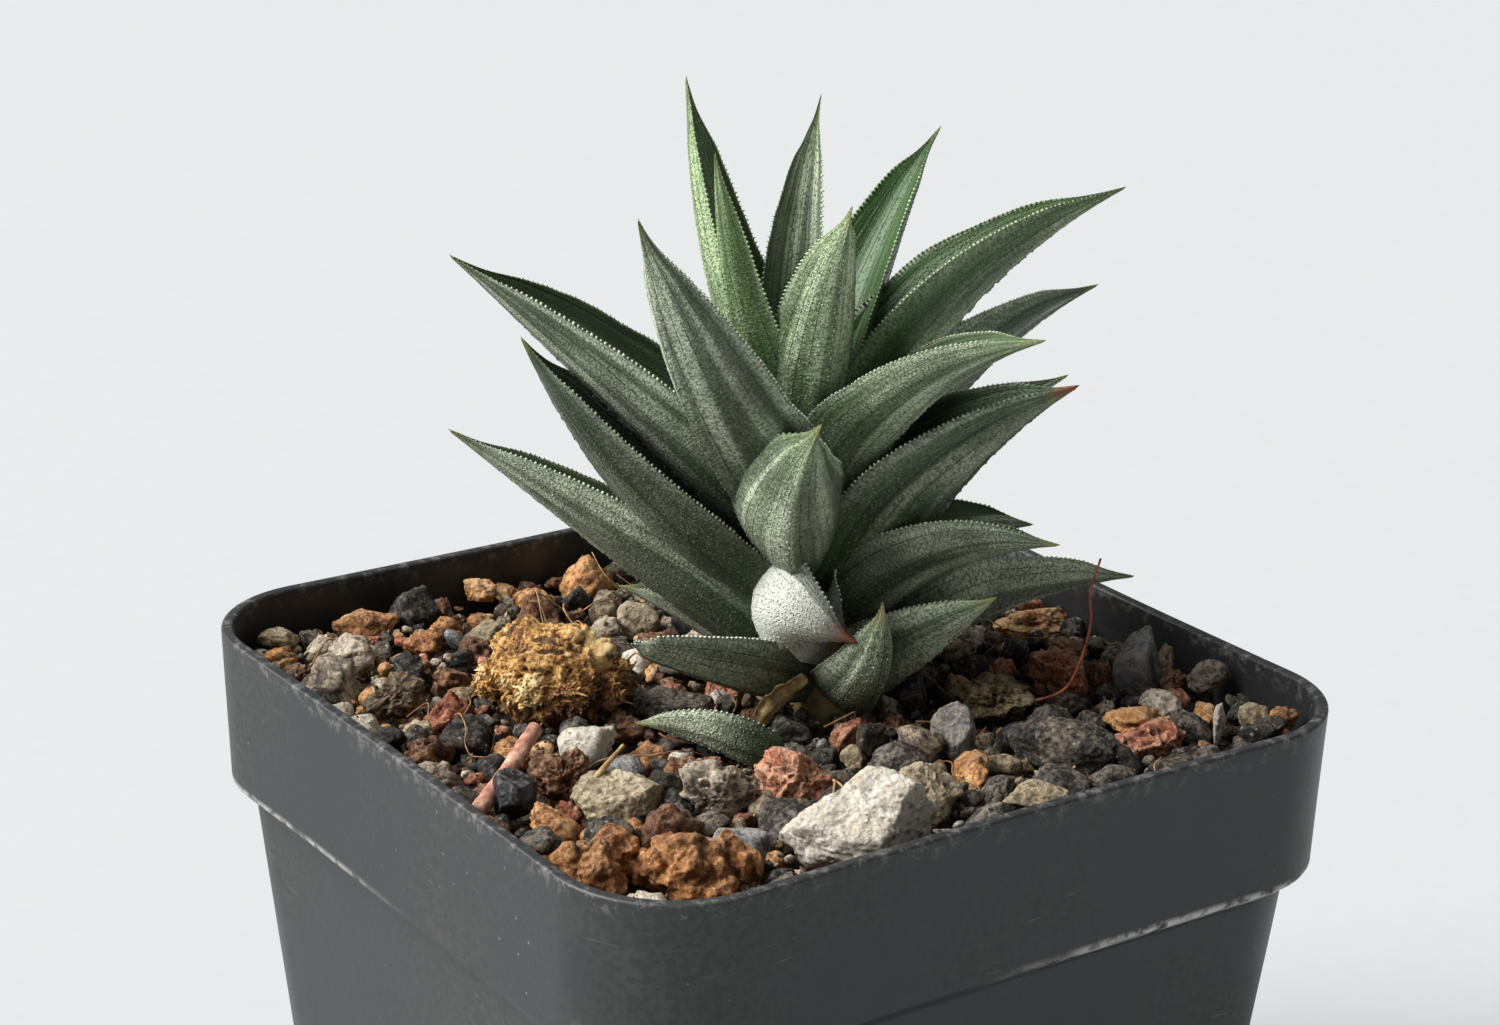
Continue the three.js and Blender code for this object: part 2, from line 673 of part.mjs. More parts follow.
// Each piece is cut back from all that is already there, and then counts as there itself. Young leaves
// come before old ones, because an old leaf's base clasps the young ones.
const fitIn = (name, geometry, finishName, inPot) => {
  const whole = inPot ? toSolid(geometry).intersect(fillable) : toSolid(geometry);
  place(name, largestBody(whole.subtract(occupied)), finishName);
  occupied = occupied.add(toSolid(swollen(geometry)));
};

LEAVES.forEach((leaf) => fitIn(leaf.name, leafGeometry(leaf), 'leaf', false));
fitIn(FALLEN_LEAF.name, leafGeometry(FALLEN_LEAF), 'leaf', true);
LOOSE.forEach((piece, index) => fitIn(piece.name, looseGeometry(piece, index), piece.finish, true));
RODS.forEach((piece) => fitIn(piece.name, rodGeometry(piece), piece.finish, true));
place('potting_mix', makeMix(occupied), 'mix');

export default haworthia;
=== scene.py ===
"""A potted haworthia: the looks of every piece, built around the fixed frame.

Lengths in the tables below are millimetres, and every mesh is made in metres when its points are handed to
Blender. +Z is up, the origin is the middle of the pot's underside, and turns are degrees from +X towards +Y.
"""

import json
from collections import namedtuple
from functools import partial, reduce

import bmesh
import bpy
import numpy as np
from bpy.props import FloatProperty, FloatVectorProperty, IntProperty, PointerProperty
from mathutils import Matrix, Vector

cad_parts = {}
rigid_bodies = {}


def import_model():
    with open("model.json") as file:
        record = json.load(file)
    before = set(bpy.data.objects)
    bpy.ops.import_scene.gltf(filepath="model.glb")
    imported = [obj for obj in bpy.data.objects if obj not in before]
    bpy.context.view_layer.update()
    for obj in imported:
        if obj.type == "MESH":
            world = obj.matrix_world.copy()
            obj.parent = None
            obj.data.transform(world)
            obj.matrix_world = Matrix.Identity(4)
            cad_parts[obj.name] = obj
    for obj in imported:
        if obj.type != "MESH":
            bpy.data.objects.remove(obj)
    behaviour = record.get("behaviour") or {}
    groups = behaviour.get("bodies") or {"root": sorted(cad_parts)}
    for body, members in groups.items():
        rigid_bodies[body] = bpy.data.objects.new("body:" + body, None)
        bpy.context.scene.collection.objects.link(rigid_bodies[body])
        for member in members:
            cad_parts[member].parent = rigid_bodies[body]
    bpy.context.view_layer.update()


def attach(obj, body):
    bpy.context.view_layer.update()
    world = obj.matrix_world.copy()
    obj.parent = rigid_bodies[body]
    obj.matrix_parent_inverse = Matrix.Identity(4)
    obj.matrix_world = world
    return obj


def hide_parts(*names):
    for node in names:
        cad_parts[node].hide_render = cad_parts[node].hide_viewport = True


bl_info = {
    "name": "Potted Haworthia",
    "version": (1, 0, 0),
    "blender": (4, 5, 0),
    "location": "3D View > Sidebar > Haworthia",
    "description": "Builds a leaning haworthia in a square nursery pot of loose mineral mix",
    "category": "Add Mesh",
}

for leftover in list(bpy.data.objects):
    bpy.data.objects.remove(leftover)
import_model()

MM = 0.001

# ---- Driving sizes, as in the frame ----

POT_HEIGHT = 70.0
RIM_HALF = 37.5
RIM_ROUNDING = 0.3
CORNER_RADIUS = 10.5
COLLAR_HEIGHT = 14.2
COLLAR_DRAFT = 0.375
LEDGE_INSET = 1.54
LEDGE_HEIGHT = 1.5
BODY_SLOPE = 0.086
FOOT_ROUNDING = 0.9
WALL = 1.1
FLOOR = 1.5
HOLE_RADIUS = 3.2
HOLE_OFFSET = 17.0
SIDE_BOW = 0.3
GAP = 0.3

MIX_LEVEL = 65.2
MIX_TILT = -0.034
MIX_BANK = 1.6
BANK_STARTS = 20.0
BANK_ENDS = 33.0
MIX_UNEVENNESS = 0.35

STEM_FOOT = np.array([6.4, -1.3, 66.0])
STEM_CROWN = np.array([3.1, 1.0, 94.0])
STEM_BELOW = 5.0
STEM_ABOVE = -4.0
STEM_RADII = (4.2, 1.9)
ROOT_COUNT = 5
ROOT_LENGTH = 34.0
ROOT_SPREAD = 17.0
ROOT_RADII = (1.4, 0.6)

LEDGE_TOP = POT_HEIGHT - COLLAR_HEIGHT
LEDGE_FOOT = LEDGE_TOP - LEDGE_HEIGHT
COLLAR_FOOT_HALF = RIM_HALF - COLLAR_DRAFT
BODY_TOP_HALF = COLLAR_FOOT_HALF - LEDGE_INSET
BODY_FOOT_HALF = BODY_TOP_HALF - BODY_SLOPE * LEDGE_FOOT

# Each leaf grows from the stem at a height, towards a turn, and its tip is a reach out and a rise up from
# there. arch bows it upwards, sweep sideways, and twist rolls it about its length. fold is how deep its
# channel is, as a share of its half width. powder is how pale its skin is, and green how fresh.
Leaf = namedtuple("Leaf", "name height turn reach rise arch sweep width twist fold powder green")
LEAVES = [
    Leaf("leaf_crown_inner", 23, 171, 8.2, 26.2, -1, 0, 5.5, 0, 0.4, 0.72, 1.0),
    Leaf("leaf_crown_tall", 21, 131, 10.6, 33.2, -1.5, 0, 6.5, -25, 0.75, 0.9, 0.9),
    Leaf("leaf_crown_front", 21, -104, 10, 25.4, 1.5, 0, 8.5, 0, 0.5, 0.85, 0.7),
    Leaf("leaf_crown_back", 20, 46, 5.9, 32.2, 1, 1.2, 6.5, 0, 0.6, 0.95, 0.5),
    Leaf("leaf_crown_right", 20, 21, 21, 26.9, 1.5, 1, 8, 0, 0.5, 0.12, 1.0),
    Leaf("leaf_upper_right", 18, -19, 28.1, 26.1, 4.8, 0, 9, -6, 0.75, 0.55, 0.8),
    Leaf("leaf_upper_left", 18, -169, 20.1, 28.3, -1.5, 0, 12, 0, 0.3, 0.62, 0.3),
    Leaf("leaf_upper_front", 18, -69, 22.9, 18.4, 3.5, 0, 9, 0, 0.5, 0.8, 0.6),
    Leaf("leaf_upper_back", 15, 84, 19, 14, 2, 0, 9, 0, 0.5, 0.4, 0.5),
    Leaf("leaf_shoulder_front", 14.5, -122, 12, 14.2, -1.5, -2.5, 11.5, 0, 0.6, 0.95, 0.5),
    Leaf("leaf_shoulder_left", 14, 156, 31, 26.7, 1, 0, 9.5, -13, 0.75, 0.72, 0.3),
    Leaf("leaf_shoulder_right", 14, -2, 30.3, 18.9, 4.5, 0, 9, -28, 0.6, 0.3, 0.4),
    Leaf("leaf_shoulder_back", 13, 48, 17, 15, 3, 0, 9, 0, 0.5, 0.4, 0.4),
    Leaf("leaf_middle_right_behind", 12, 4, 29.7, 11.7, 2, 0, 8, 0, 0.5, 0.35, 0.3),
    Leaf("leaf_middle_left_behind", 10, 116, 17.1, 14.3, 2, 0, 9, 0, 0.5, 0.35, 0.3),
    Leaf("leaf_middle_front", 9, -44, 21.8, 20.7, 3, 0, 11.5, 4, 0.7, 0.38, 0.4),
    Leaf("leaf_middle_left", 8, 156, 26, 25.5, -2, 0, 9.5, -20, 0.8, 0.16, 0.15),
    Leaf("leaf_middle_right", 8, -4, 22.6, 3.7, 3, 0, 9, 0, 0.5, 0.35, 0.5),
    Leaf("leaf_middle_back", 8, 74, 23, 10, 2, 0, 9, 0, 0.5, 0.35, 0.3),
    Leaf("leaf_middle_back_right", 8, 32, 24, 9, 2, 0, 9, 0, 0.5, 0.35, 0.3),
    Leaf("leaf_low_front_right", 6, -54, 21, 10.6, 3.5, 0, 9, -20, 0.5, 0.34, 0.2),
    Leaf("leaf_low_recurved", 6, -105, 8.6, 1.8, 2.6, -4.2, 11, -25, 1.15, 1.0, 0.1),
    Leaf("leaf_low_back_left", 4, 106, 21.1, 7.7, 1.5, 0, 9, 0, 0.5, 0.35, 0.2),
    Leaf("leaf_low_left", 3.5, 146, 32.8, 20.3, 0.5, 0, 9, 10, 0.6, 0.7, 0.2),
    Leaf("leaf_low_right", 3, -26, 27.5, 6.7, 3, 0, 9, -25, 0.5, 0.85, 0.2),
    Leaf("leaf_low_back", 3, 54, 23, 6, 2, 0, 9, 0, 0.5, 0.35, 0.2),
    Leaf("leaf_base_left", 1.8, -179, 23.6, 8.1, 0, 0, 7.2, 25, 0.4, 0.6, 0.1),
    Leaf("leaf_base_back_right", 2, 18, 22, 5, 1.5, 0, 9, 0, 0.5, 0.35, 0.2),
    Leaf("leaf_base_short", 1, -97, 9, 10.6, -2.6, 0, 7.3, 12, 0.6, 0.85, 0.4),
    Leaf("leaf_base_right", 1.3, -59, 15.4, 10.3, 0, 0, 8.2, -25, 0.5, 0.62, 0.3),
    Leaf("leaf_base_back_left", 1, 126, 20, 6, 1.5, 0, 8.5, 0, 0.5, 0.35, 0.2),
]
FALLEN_LEAF = Leaf("leaf_fallen", None, 141, 12.4, 1.8, 1, 0, 5.5, 35, 0.3, 0.65, 0.15)
FALLEN_BASE = np.array([-4.6, -9.4, 66.0])

ALL_LEAVES = [*LEAVES, FALLEN_LEAF]

# How brown a leaf's tip is, where it is more than a trace, and the share of its length that has dried up.
BROWN_TIPS = {
    "leaf_middle_front": 0.9,
    "leaf_low_recurved": 1.0,
    "leaf_base_left": 1.0,
    "leaf_base_short": 0.3,
}
BROWN_TRACE = 0.1
DRIED_SHARES = {"leaf_base_left": 0.15}

# Single stones in the top of the mix: the kind, where the middle is, the full size along, across and up, and
# the turn that the length points along, which is across the view where none is given.
VIEW_ACROSS = -34.0
Stone = namedtuple("Stone", "name kind at size turn", defaults=[VIEW_ACROSS])
LOOSE = [
    Stone("lava_red_front", "lava", (-8.3, -17.2, 67), (7.6, 6, 6.5)),
    Stone("basalt_rough", "rough_basalt", (-15.8, -15.9, 67), (7.4, 6.4, 6.6)),
    Stone("stone_tan", "tan", (-22.7, -12.7, 66.8), (8, 6, 5)),
    Stone("lava_brown", "brown_lava", (-24.6, -6.8, 67), (6, 5.5, 5.5)),
    Stone("chip_glassy", "glassy", (-29.9, -8.2, 67.3), (3.8, 4, 5)),
    Stone("slate_standing", "slate", (31.4, -13.6, 67.2), (4.6, 2.8, 7.4)),
    Stone("basalt_right", "basalt", (15.1, -22.6, 65.8), (9.4, 7, 6.6)),
    Stone("lava_red_right", "lava", (23.9, -24.2, 65.4), (7.4, 6, 5)),
    Stone("lava_red_back", "lava", (25.9, -9.4, 65.9), (6, 5.4, 5)),
    Stone("slate_front", "slate", (8.1, -16.5, 66.4), (4.2, 3.4, 7.4)),
    Stone("slate_flat", "basalt", (-8.4, 2.6, 66.6), (8.6, 5, 2.8)),
    Stone("stone_brown", "tan", (-0.9, -24.9, 66.6), (6.2, 5, 5.8)),
    Stone("clay_orange", "clay", (31.6, 1.6, 65.8), (7.4, 5.4, 4.4)),
    Stone("bark_dark", "bark", (-27.5, 15.8, 66.9), (8.4, 4.2, 4), 20),
    Stone("mossy_chunk", "moss", (16.8, -11.2, 66.6), (8, 5, 4.4)),
]
PUMICE = Stone("pumice_white", "pumice", (-10.9, -29.6, 68.2), (13, 9, 9.5))
CLUSTER = Stone("clay_cluster", "clay", (-27.4, -25.2, 67.6), (17, 9, 6.5))
CLUMP = Stone("fibre_clump", "fibre", (-16.9, 7, 69.6), (15, 13, 11))

# Thin things that lie on the mix, each along a few given points. A round one has a radius at each end.
Rod = namedtuple("Rod", "name slot through radii", defaults=[None])
TWIG = Rod(
    "twig_pink", "twig",
    [(-33.1, -7.9, 66.6), (-30, -6.1, 67.8), (-26.9, -4.1, 69), (-24.4, -2.4, 69.9)], (0.75, 0.65))
THIN_TWIG = Rod(
    "twig_thin", "dry_fibre",
    [(-26, -11.7, 67.4), (-23.5, -11, 69), (-20.7, -10.1, 70.4)], (0.36, 0.16))
ROOTLET = Rod(
    "rootlet", "twig",
    [(17.8, -13.8, 66.6), (21.3, -15, 67.4), (22.5, -15.8, 69.9), (23.1, -16.4, 73.9), (23.2, -16, 76.6),
     (24.5, -15.6, 79.4)], (0.15, 0.1))
SCRAP = Rod(
    "dry_scrap", "dry_fibre",
    [(-4.4, -6, 66.6), (-2.6, -5.6, 67.8), (-0.6, -5.1, 68.6), (1.4, -4.7, 69.3)])


# ---- Numbers ----


def tone(red, green, blue):
    """A colour given in screen steps from 0 to 255, as linear light."""
    steps = np.array([red, green, blue]) / 255
    light = np.where(steps > 0.04045, ((steps + 0.055) / 1.055) ** 2.4, steps / 12.92)
    return tuple(float(v) for v in light)


def compass(turn):
    """The level unit vector that points along a turn."""
    angle = np.radians(turn)
    return np.array([np.cos(angle), np.sin(angle), 0.0])


def unit(vectors):
    """Vectors at length one."""
    return vectors / np.linalg.norm(vectors, axis=-1, keepdims=True)


CELL_FACTORS = (374761393, 668265263, 1440662683)
SEED_FACTOR = 974634777
STIR_FACTOR = 1274126177


def lattice(cells, seed):
    """A fixed random number from -1 to 1 for every whole-number cell."""
    key = (cells * CELL_FACTORS).sum(-1) + seed * SEED_FACTOR
    key = (key ^ (key >> 13)) * STIR_FACTOR
    key = key ^ (key >> 16)
    return (key & 0xFFFFF) / 0x7FFFF - 1


def noise(points, seed=0):
    """Smooth noise from -1 to 1, about one swing for each unit of length."""
    cell = np.floor(points).astype(np.int64)
    share = points - cell
    share = share * share * (3 - 2 * share)
    total = np.zeros(points.shape[:-1])
    for corner in np.ndindex(2, 2, 2):
        weight = np.prod(np.where(corner, share, 1 - share), axis=-1)
        total += weight * lattice(cell + np.array(corner), seed)
    return total


def rough_noise(points, seed=0, octaves=3):
    """Noise with finer and finer swings laid over it."""
    return sum(noise(points * 2**i, seed + i) / 2**i for i in range(octaves))


def creased_noise(points, seed=0, octaves=4):
    """Noise from about -1 to 1 with sharp creases, and finer and finer ones laid over them."""
    layers = (noise(points * 2.1**i + 7.7 * i, seed + i) for i in range(octaves))
    return sum((0.55 - 1.9 * np.abs(layer)) / 2**i for i, layer in enumerate(layers))


def step_up(value, low, high):
    """0 below low, 1 above high and smooth between them."""
    share = np.clip((value - low) / (high - low), 0, 1)
    return share * share * (3 - 2 * share)


def mix_surface(x, y):
    """The height of the mix's general level, with a low bank against the right-hand wall."""
    bank = MIX_BANK * step_up(x, BANK_STARTS, BANK_ENDS)
    swell = np.sin(0.31 * x + 1.3) + np.cos(0.27 * y - 0.4)
    return MIX_LEVEL + MIX_TILT * x + MIX_UNEVENNESS * swell + bank


# ---- Meshes ----


def skin(rings, first=None, last=None):
    """Points and faces of a closed skin. Each ring runs counter-clockwise seen from the last ring."""
    steps, count = rings.shape[:2]
    first = rings[0].mean(0) if first is None else first
    last = rings[-1].mean(0) if last is None else last
    here = np.arange(count)
    after = (here + 1) % count
    start = np.arange(steps - 1)[:, None] * count
    corners = [start + here, start + after, start + count + after, start + count + here]
    quads = np.stack(corners, -1).reshape(-1, 4)
    middle = steps * count
    end = middle - count
    caps = [(middle, int(k), int(j)) for j, k in zip(here, after)]
    caps += [(middle + 1, end + int(j), end + int(k)) for j, k in zip(here, after)]
    return np.vstack([rings.reshape(-1, 3), first, last]), quads.tolist() + caps


def make_piece(name, points, faces, attributes=None):
    """A mesh object from points in millimetres. attributes are numbers or vectors for each point."""
    mesh = bpy.data.meshes.new(name)
    mesh.from_pydata(np.asarray(points) * MM, [], faces)
    for label, values in (attributes or {}).items():
        values = np.asarray(values, dtype=np.float32)
        if values.ndim == 1:
            mesh.attributes.new(label, "FLOAT", "POINT").data.foreach_set("value", values)
        else:
            mesh.attributes.new(label, "FLOAT_VECTOR", "POINT").data.foreach_set("vector", values.ravel())
    mesh.shade_smooth()
    piece = bpy.data.objects.new(name, mesh)
    bpy.context.scene.collection.objects.link(piece)
    return piece


def settle(piece):
    """Turns a piece with modifiers into a plain mesh."""
    graph = bpy.context.evaluated_depsgraph_get()
    made = bpy.data.meshes.new_from_object(
        piece.evaluated_get(graph), preserve_all_data_layers=True, depsgraph=graph
    )
    old = piece.data
    piece.modifiers.clear()
    piece.data = made
    made.name = piece.name
    bpy.data.meshes.remove(old)


def seat(piece, material, slot, *nodes):
    """Gives a finished piece its material and its place in the frame."""
    piece.data.materials.clear()
    piece.data.materials.append(material)
    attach(piece, "root")
    if nodes:
        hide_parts(*nodes)


def ball(divisions):
    """The points and faces of a ball of radius one made of even triangles."""
    grid = bmesh.new()
    bmesh.ops.create_icosphere(grid, subdivisions=divisions, radius=1)
    points = np.array([v.co[:] for v in grid.verts])
    faces = np.array([[v.index for v in f.verts] for f in grid.faces])
    grid.free()
    return points, faces


BALLS = {divisions: ball(divisions) for divisions in (2, 3, 4, 6)}


def joined(parts):
    """One set of points and faces from several."""
    points = np.vstack([p for p, _ in parts])
    starts = np.cumsum([0] + [len(p) for p, _ in parts[:-1]])
    faces = []
    for (_, part_faces), start in zip(parts, starts):
        faces += [[int(i) + int(start) for i in face] for face in part_faces]
    return points, faces


def smooth_path(through, steps):
    """Evenly counted points along a smooth curve that passes through the given ones."""
    knots = np.array(through, dtype=float)
    knots = np.vstack([2 * knots[0] - knots[1], knots, 2 * knots[-1] - knots[-2]])
    spans = len(knots) - 3
    place = np.linspace(0, spans, steps + 1)
    span = np.minimum(place.astype(int), spans - 1)
    t = (place - span)[:, None]
    a, b, c, d = (knots[span + i] for i in range(4))
    return 0.5 * (2 * b + (c - a) * t + (2 * a - 5 * b + 4 * c - d) * t**2 + (3 * b - a - 3 * c + d) * t**3)


def tube(path, radii, sides, wobble, seed):
    """Points and faces of a rod along a path, which wobble roughens."""
    along = unit(np.gradient(path, axis=0))
    across = np.cross(along[0], [0.3, 0.2, 0.9])
    rings = []
    for i, centre in enumerate(path):
        across = unit(across - along[i] * (across @ along[i]))
        other = np.cross(along[i], across)
        angles = 2 * np.pi * np.arange(sides)[:, None] / sides
        ring = across * np.cos(angles) + other * np.sin(angles)
        swell = 1 + wobble * rough_noise((centre + ring * radii[i]) * 1.1, seed, 2)[:, None]
        rings.append(centre + ring * radii[i] * swell)
    return skin(np.array(rings))


# ---- Node trees ----


class NodeTree:
    """What shader and geometry trees share: adding nodes, and sums on numbers."""

    def feed(self, node, inputs):
        """Fills a node's sockets, by name or number: a socket is linked, and any other value is set."""
        for key, value in inputs.items():
            if isinstance(value, bpy.types.NodeSocket):
                self.tree.links.new(value, node.inputs[key])
            else:
                node.inputs[key].default_value = value

    def add(self, kind, inputs=None, **settings):
        """Adds a node."""
        node = self.tree.nodes.new(kind)
        for label, value in settings.items():
            setattr(node, label, value)
        self.feed(node, inputs or {})
        return node

    def calc(self, operation, a, b=0.0):
        """One sum on two numbers."""
        return self.add("ShaderNodeMath", {0: a, 1: b}, operation=operation).outputs[0]

    def times(self, *values):
        """Numbers multiplied."""
        return reduce(partial(self.calc, "MULTIPLY"), values)

    def plus(self, *values):
        """Numbers added."""
        return reduce(partial(self.calc, "ADD"), values)

    def highest(self, *values):
        """The largest of some numbers."""
        return reduce(partial(self.calc, "MAXIMUM"), values)


class Paint(NodeTree):
    """Builds one material's nodes, from its coordinates to its shader."""

    def __init__(self, name):
        self.material = bpy.data.materials.new(name)
        self.material.use_nodes = True
        self.tree = self.material.node_tree
        self.shader = self.tree.nodes["Principled BSDF"]
        self.place = self.add("ShaderNodeTexCoord").outputs["Object"]

    def attribute(self, name, output="Fac"):
        """A named attribute of the mesh."""
        return self.add("ShaderNodeAttribute", attribute_name=name).outputs[output]

    def parts(self, vector):
        """The three numbers of a vector."""
        return self.add("ShaderNodeSeparateXYZ", {0: vector}).outputs

    def vector(self, x, y, z=0.0):
        """A vector of three numbers."""
        return self.add("ShaderNodeCombineXYZ", {0: x, 1: y, 2: z}).outputs[0]

    def noise(self, scale, detail=3.0, roughness=0.55, place=None, distortion=0.0):
        """Cloudy noise from about 0.2 to 0.8."""
        inputs = {"Vector": place or self.place, "Scale": scale, "Detail": detail, "Roughness": roughness,
                  "Distortion": distortion}
        return self.add("ShaderNodeTexNoise", inputs).outputs[0]

    def cells(self, scale, place=None, output=0):
        """The distance to the nearest of many scattered points, or with output 1 a colour for each."""
        inputs = {"Vector": place or self.place, "Scale": scale}
        return self.add("ShaderNodeTexVoronoi", inputs).outputs[output]

    def fade(self, value, low, high, start=0.0, end=1.0):
        """start where value is below low, end where it is above high, and smooth between."""
        inputs = {0: value, 1: low, 2: high, 3: start, 4: end}
        return self.add("ShaderNodeMapRange", inputs, interpolation_type="SMOOTHSTEP").outputs[0]

    def ramp(self, value, *stops):
        """Colours laid along a number, as pairs of place and colour."""
        node = self.add("ShaderNodeValToRGB", {0: value})
        band = node.color_ramp
        for _ in stops[2:]:
            band.elements.new(0.5)
        for element, (at, color) in zip(band.elements, stops):
            element.position = at
            element.color = (*color, 1)
        return node.outputs[0]

    def mix(self, share, a, b, blend="MIX"):
        """Two colours mixed."""
        inputs = {0: share}
        for key, value in ((6, a), (7, b)):
            inputs[key] = value if isinstance(value, bpy.types.NodeSocket) else (*value, 1)
        return self.add("ShaderNodeMix", inputs, data_type="RGBA", blend_type=blend).outputs[2]

    def bump(self, height, distance, below=None):
        """A rough surface, distance deep in millimetres, over another."""
        inputs = {"Height": height, "Distance": distance * MM}
        if below:
            inputs["Normal"] = below
        return self.add("ShaderNodeBump", inputs).outputs[0]

    def finish(self, color, roughness, normal=None, **uniform):
        """Feeds the shader. uniform are sockets that are the same all over, by name."""
        inputs = {"Base Color": color, "Roughness": roughness}
        if normal:
            inputs["Normal"] = normal
        inputs.update({label.replace("_", " "): value for label, value in uniform.items()})
        self.feed(self.shader, inputs)
        return self.material


class Grower(NodeTree):
    """Builds one geometry tree with named inputs, and runs it on pieces."""

    KINDS = {float: "NodeSocketFloat", int: "NodeSocketInt"}

    def __init__(self, name, sizes):
        self.tree = bpy.data.node_groups.new(name, "GeometryNodeTree")
        sockets = self.tree.interface
        sockets.new_socket("Geometry", in_out="INPUT", socket_type="NodeSocketGeometry")
        sockets.new_socket("Geometry", in_out="OUTPUT", socket_type="NodeSocketGeometry")
        for label, value in sizes.items():
            socket = sockets.new_socket(label, in_out="INPUT", socket_type=self.KINDS[type(value)])
            socket.default_value = value
        sockets.new_socket("Material", in_out="INPUT", socket_type="NodeSocketMaterial")
        self.given = self.add("NodeGroupInput").outputs

    def attribute(self, name, kind="FLOAT"):
        """A named attribute of the mesh."""
        return self.add("GeometryNodeInputNamedAttribute", {0: name}, data_type=kind).outputs[0]

    def marked(self, geometry, name, value, domain="POINT"):
        """A geometry with a number stored on it under a name."""
        inputs = {"Geometry": geometry, "Name": name, "Value": value}
        kinds = {"data_type": "FLOAT", "domain": domain}
        return self.add("GeometryNodeStoreNamedAttribute", inputs, **kinds).outputs[0]

    def random(self, low, high, seed):
        """A random number, or a random vector between two, for each copy."""
        if isinstance(low, tuple):
            inputs = {0: low, 1: high, "Seed": seed}
            return self.add("FunctionNodeRandomValue", inputs, data_type="FLOAT_VECTOR").outputs[0]
        inputs = {2: low, 3: high, "Seed": seed}
        return self.add("FunctionNodeRandomValue", inputs, data_type="FLOAT").outputs[1]

    def vectors(self, operation, first, other):
        """One sum on two vectors, or with SCALE on a vector and a number."""
        inputs = {0: first, (3 if operation == "SCALE" else 1): other}
        return self.add("ShaderNodeVectorMath", inputs, operation=operation).outputs[0]

    def pointed(self, way):
        """The rotation that stands +Z along a way."""
        return self.add("FunctionNodeAlignRotationToVector", {"Vector": way}, axis="Z").outputs[0]

    def cone(self, sides, sunk):
        """A cone of radius and height one, with part of it below its place."""
        inputs = {"Vertices": sides, "Radius Top": 0.0, "Radius Bottom": 1.0, "Depth": 1.0}
        cone = self.add("GeometryNodeMeshCone", inputs).outputs[0]
        inputs = {"Geometry": cone, "Translation": (0, 0, -sunk)}
        return self.add("GeometryNodeTransform", inputs).outputs[0]

    def strewn(self, wanted=True):
        """Points strewn over the given piece where wanted, and the way it faces there."""
        inputs = {"Mesh": self.given["Geometry"], "Selection": wanted, "Density": self.given["Density"],
                  "Seed": self.given["Seed"]}
        return self.add("GeometryNodeDistributePointsOnFaces", inputs).outputs

    def copies(self, points, thing, rotation, scale, wanted=True):
        """Copies of a thing, one on each point that is wanted."""
        inputs = {"Points": points, "Selection": wanted, "Instance": thing, "Rotation": rotation,
                  "Scale": scale}
        return self.add("GeometryNodeInstanceOnPoints", inputs).outputs[0]

    def output(self, *parts):
        """Ends the tree in plain geometry of all parts, with its material."""
        whole = self.add("GeometryNodeJoinGeometry")
        for part in parts:
            self.tree.links.new(part, whole.inputs[0])
        plain = self.add("GeometryNodeRealizeInstances", {0: whole.outputs[0]}).outputs[0]
        inputs = {"Geometry": plain, "Material": self.given["Material"]}
        coated = self.add("GeometryNodeSetMaterial", inputs).outputs[0]
        self.add("NodeGroupOutput", {0: coated})

    def grow(self, piece, material, **values):
        """Runs the tree on a piece and keeps what it makes as the piece's plain mesh."""
        modifier = piece.modifiers.new(self.tree.name, "NODES")
        modifier.node_group = self.tree
        wanted = {"Material": material, **values}
        for item in self.tree.interface.items_tree:
            if item.in_out == "INPUT" and item.name in wanted:
                modifier[item.identifier] = wanted[item.name]
        settle(piece)


# ---- Settings ----


class StageSettings(bpy.types.PropertyGroup):
    """Sizes and colours of the stage"""

    floor_size: FloatProperty(
        name="Floor Size", description="Width of the square floor", default=9.0, unit="LENGTH")
    floor_color: FloatVectorProperty(
        name="Floor Colour", description="Colour of the floor",
        default=(0.485, 0.497, 0.51), subtype="COLOR")
    key_strength: FloatProperty(
        name="Key Light", description="Strength of the soft light from the upper left", default=6.7)
    key_spread: FloatProperty(
        name="Key Spread", description="How wide the soft light is in the sky",
        default=0.8, subtype="ANGLE")
    room_light: FloatProperty(
        name="Room Light", description="Strength of the even light from all sides", default=0.23)


class PotSettings(bpy.types.PropertyGroup):
    """Sizes and colours of the pot"""

    side_bow: FloatProperty(
        name="Side Bow", description="How far each side pulls in between its corners",
        default=SIDE_BOW * MM, unit="LENGTH")
    color: FloatVectorProperty(
        name="Plastic", description="Colour of the clean plastic",
        default=(0.021, 0.0217, 0.0235), subtype="COLOR")
    dust_color: FloatVectorProperty(
        name="Dust", description="Colour of chalk and dust", default=tone(190, 190, 184), subtype="COLOR")


class LeafSettings(bpy.types.PropertyGroup):
    """Sizes and colours of the leaves"""

    row_pitch: FloatProperty(
        name="Row Pitch", description="Distance between rows of tubercles",
        default=0.43 * MM, unit="LENGTH")
    stud_radius: FloatProperty(
        name="Tubercle Radius", description="Radius of the largest tubercles",
        default=0.12 * MM, unit="LENGTH")
    tooth_length: FloatProperty(
        name="Tooth Length", description="Length of the longest marginal teeth",
        default=0.38 * MM, unit="LENGTH")
    tissue: FloatVectorProperty(
        name="Old Leaf", description="Colour of old leaf tissue",
        default=tone(35, 50, 28), subtype="COLOR")
    fresh: FloatVectorProperty(
        name="Young Leaf", description="Colour of young leaf tissue",
        default=tone(48, 88, 27), subtype="COLOR")
    powder: FloatVectorProperty(
        name="Powder", description="Colour of the pale powdery skin",
        default=tone(208, 220, 193), subtype="COLOR")


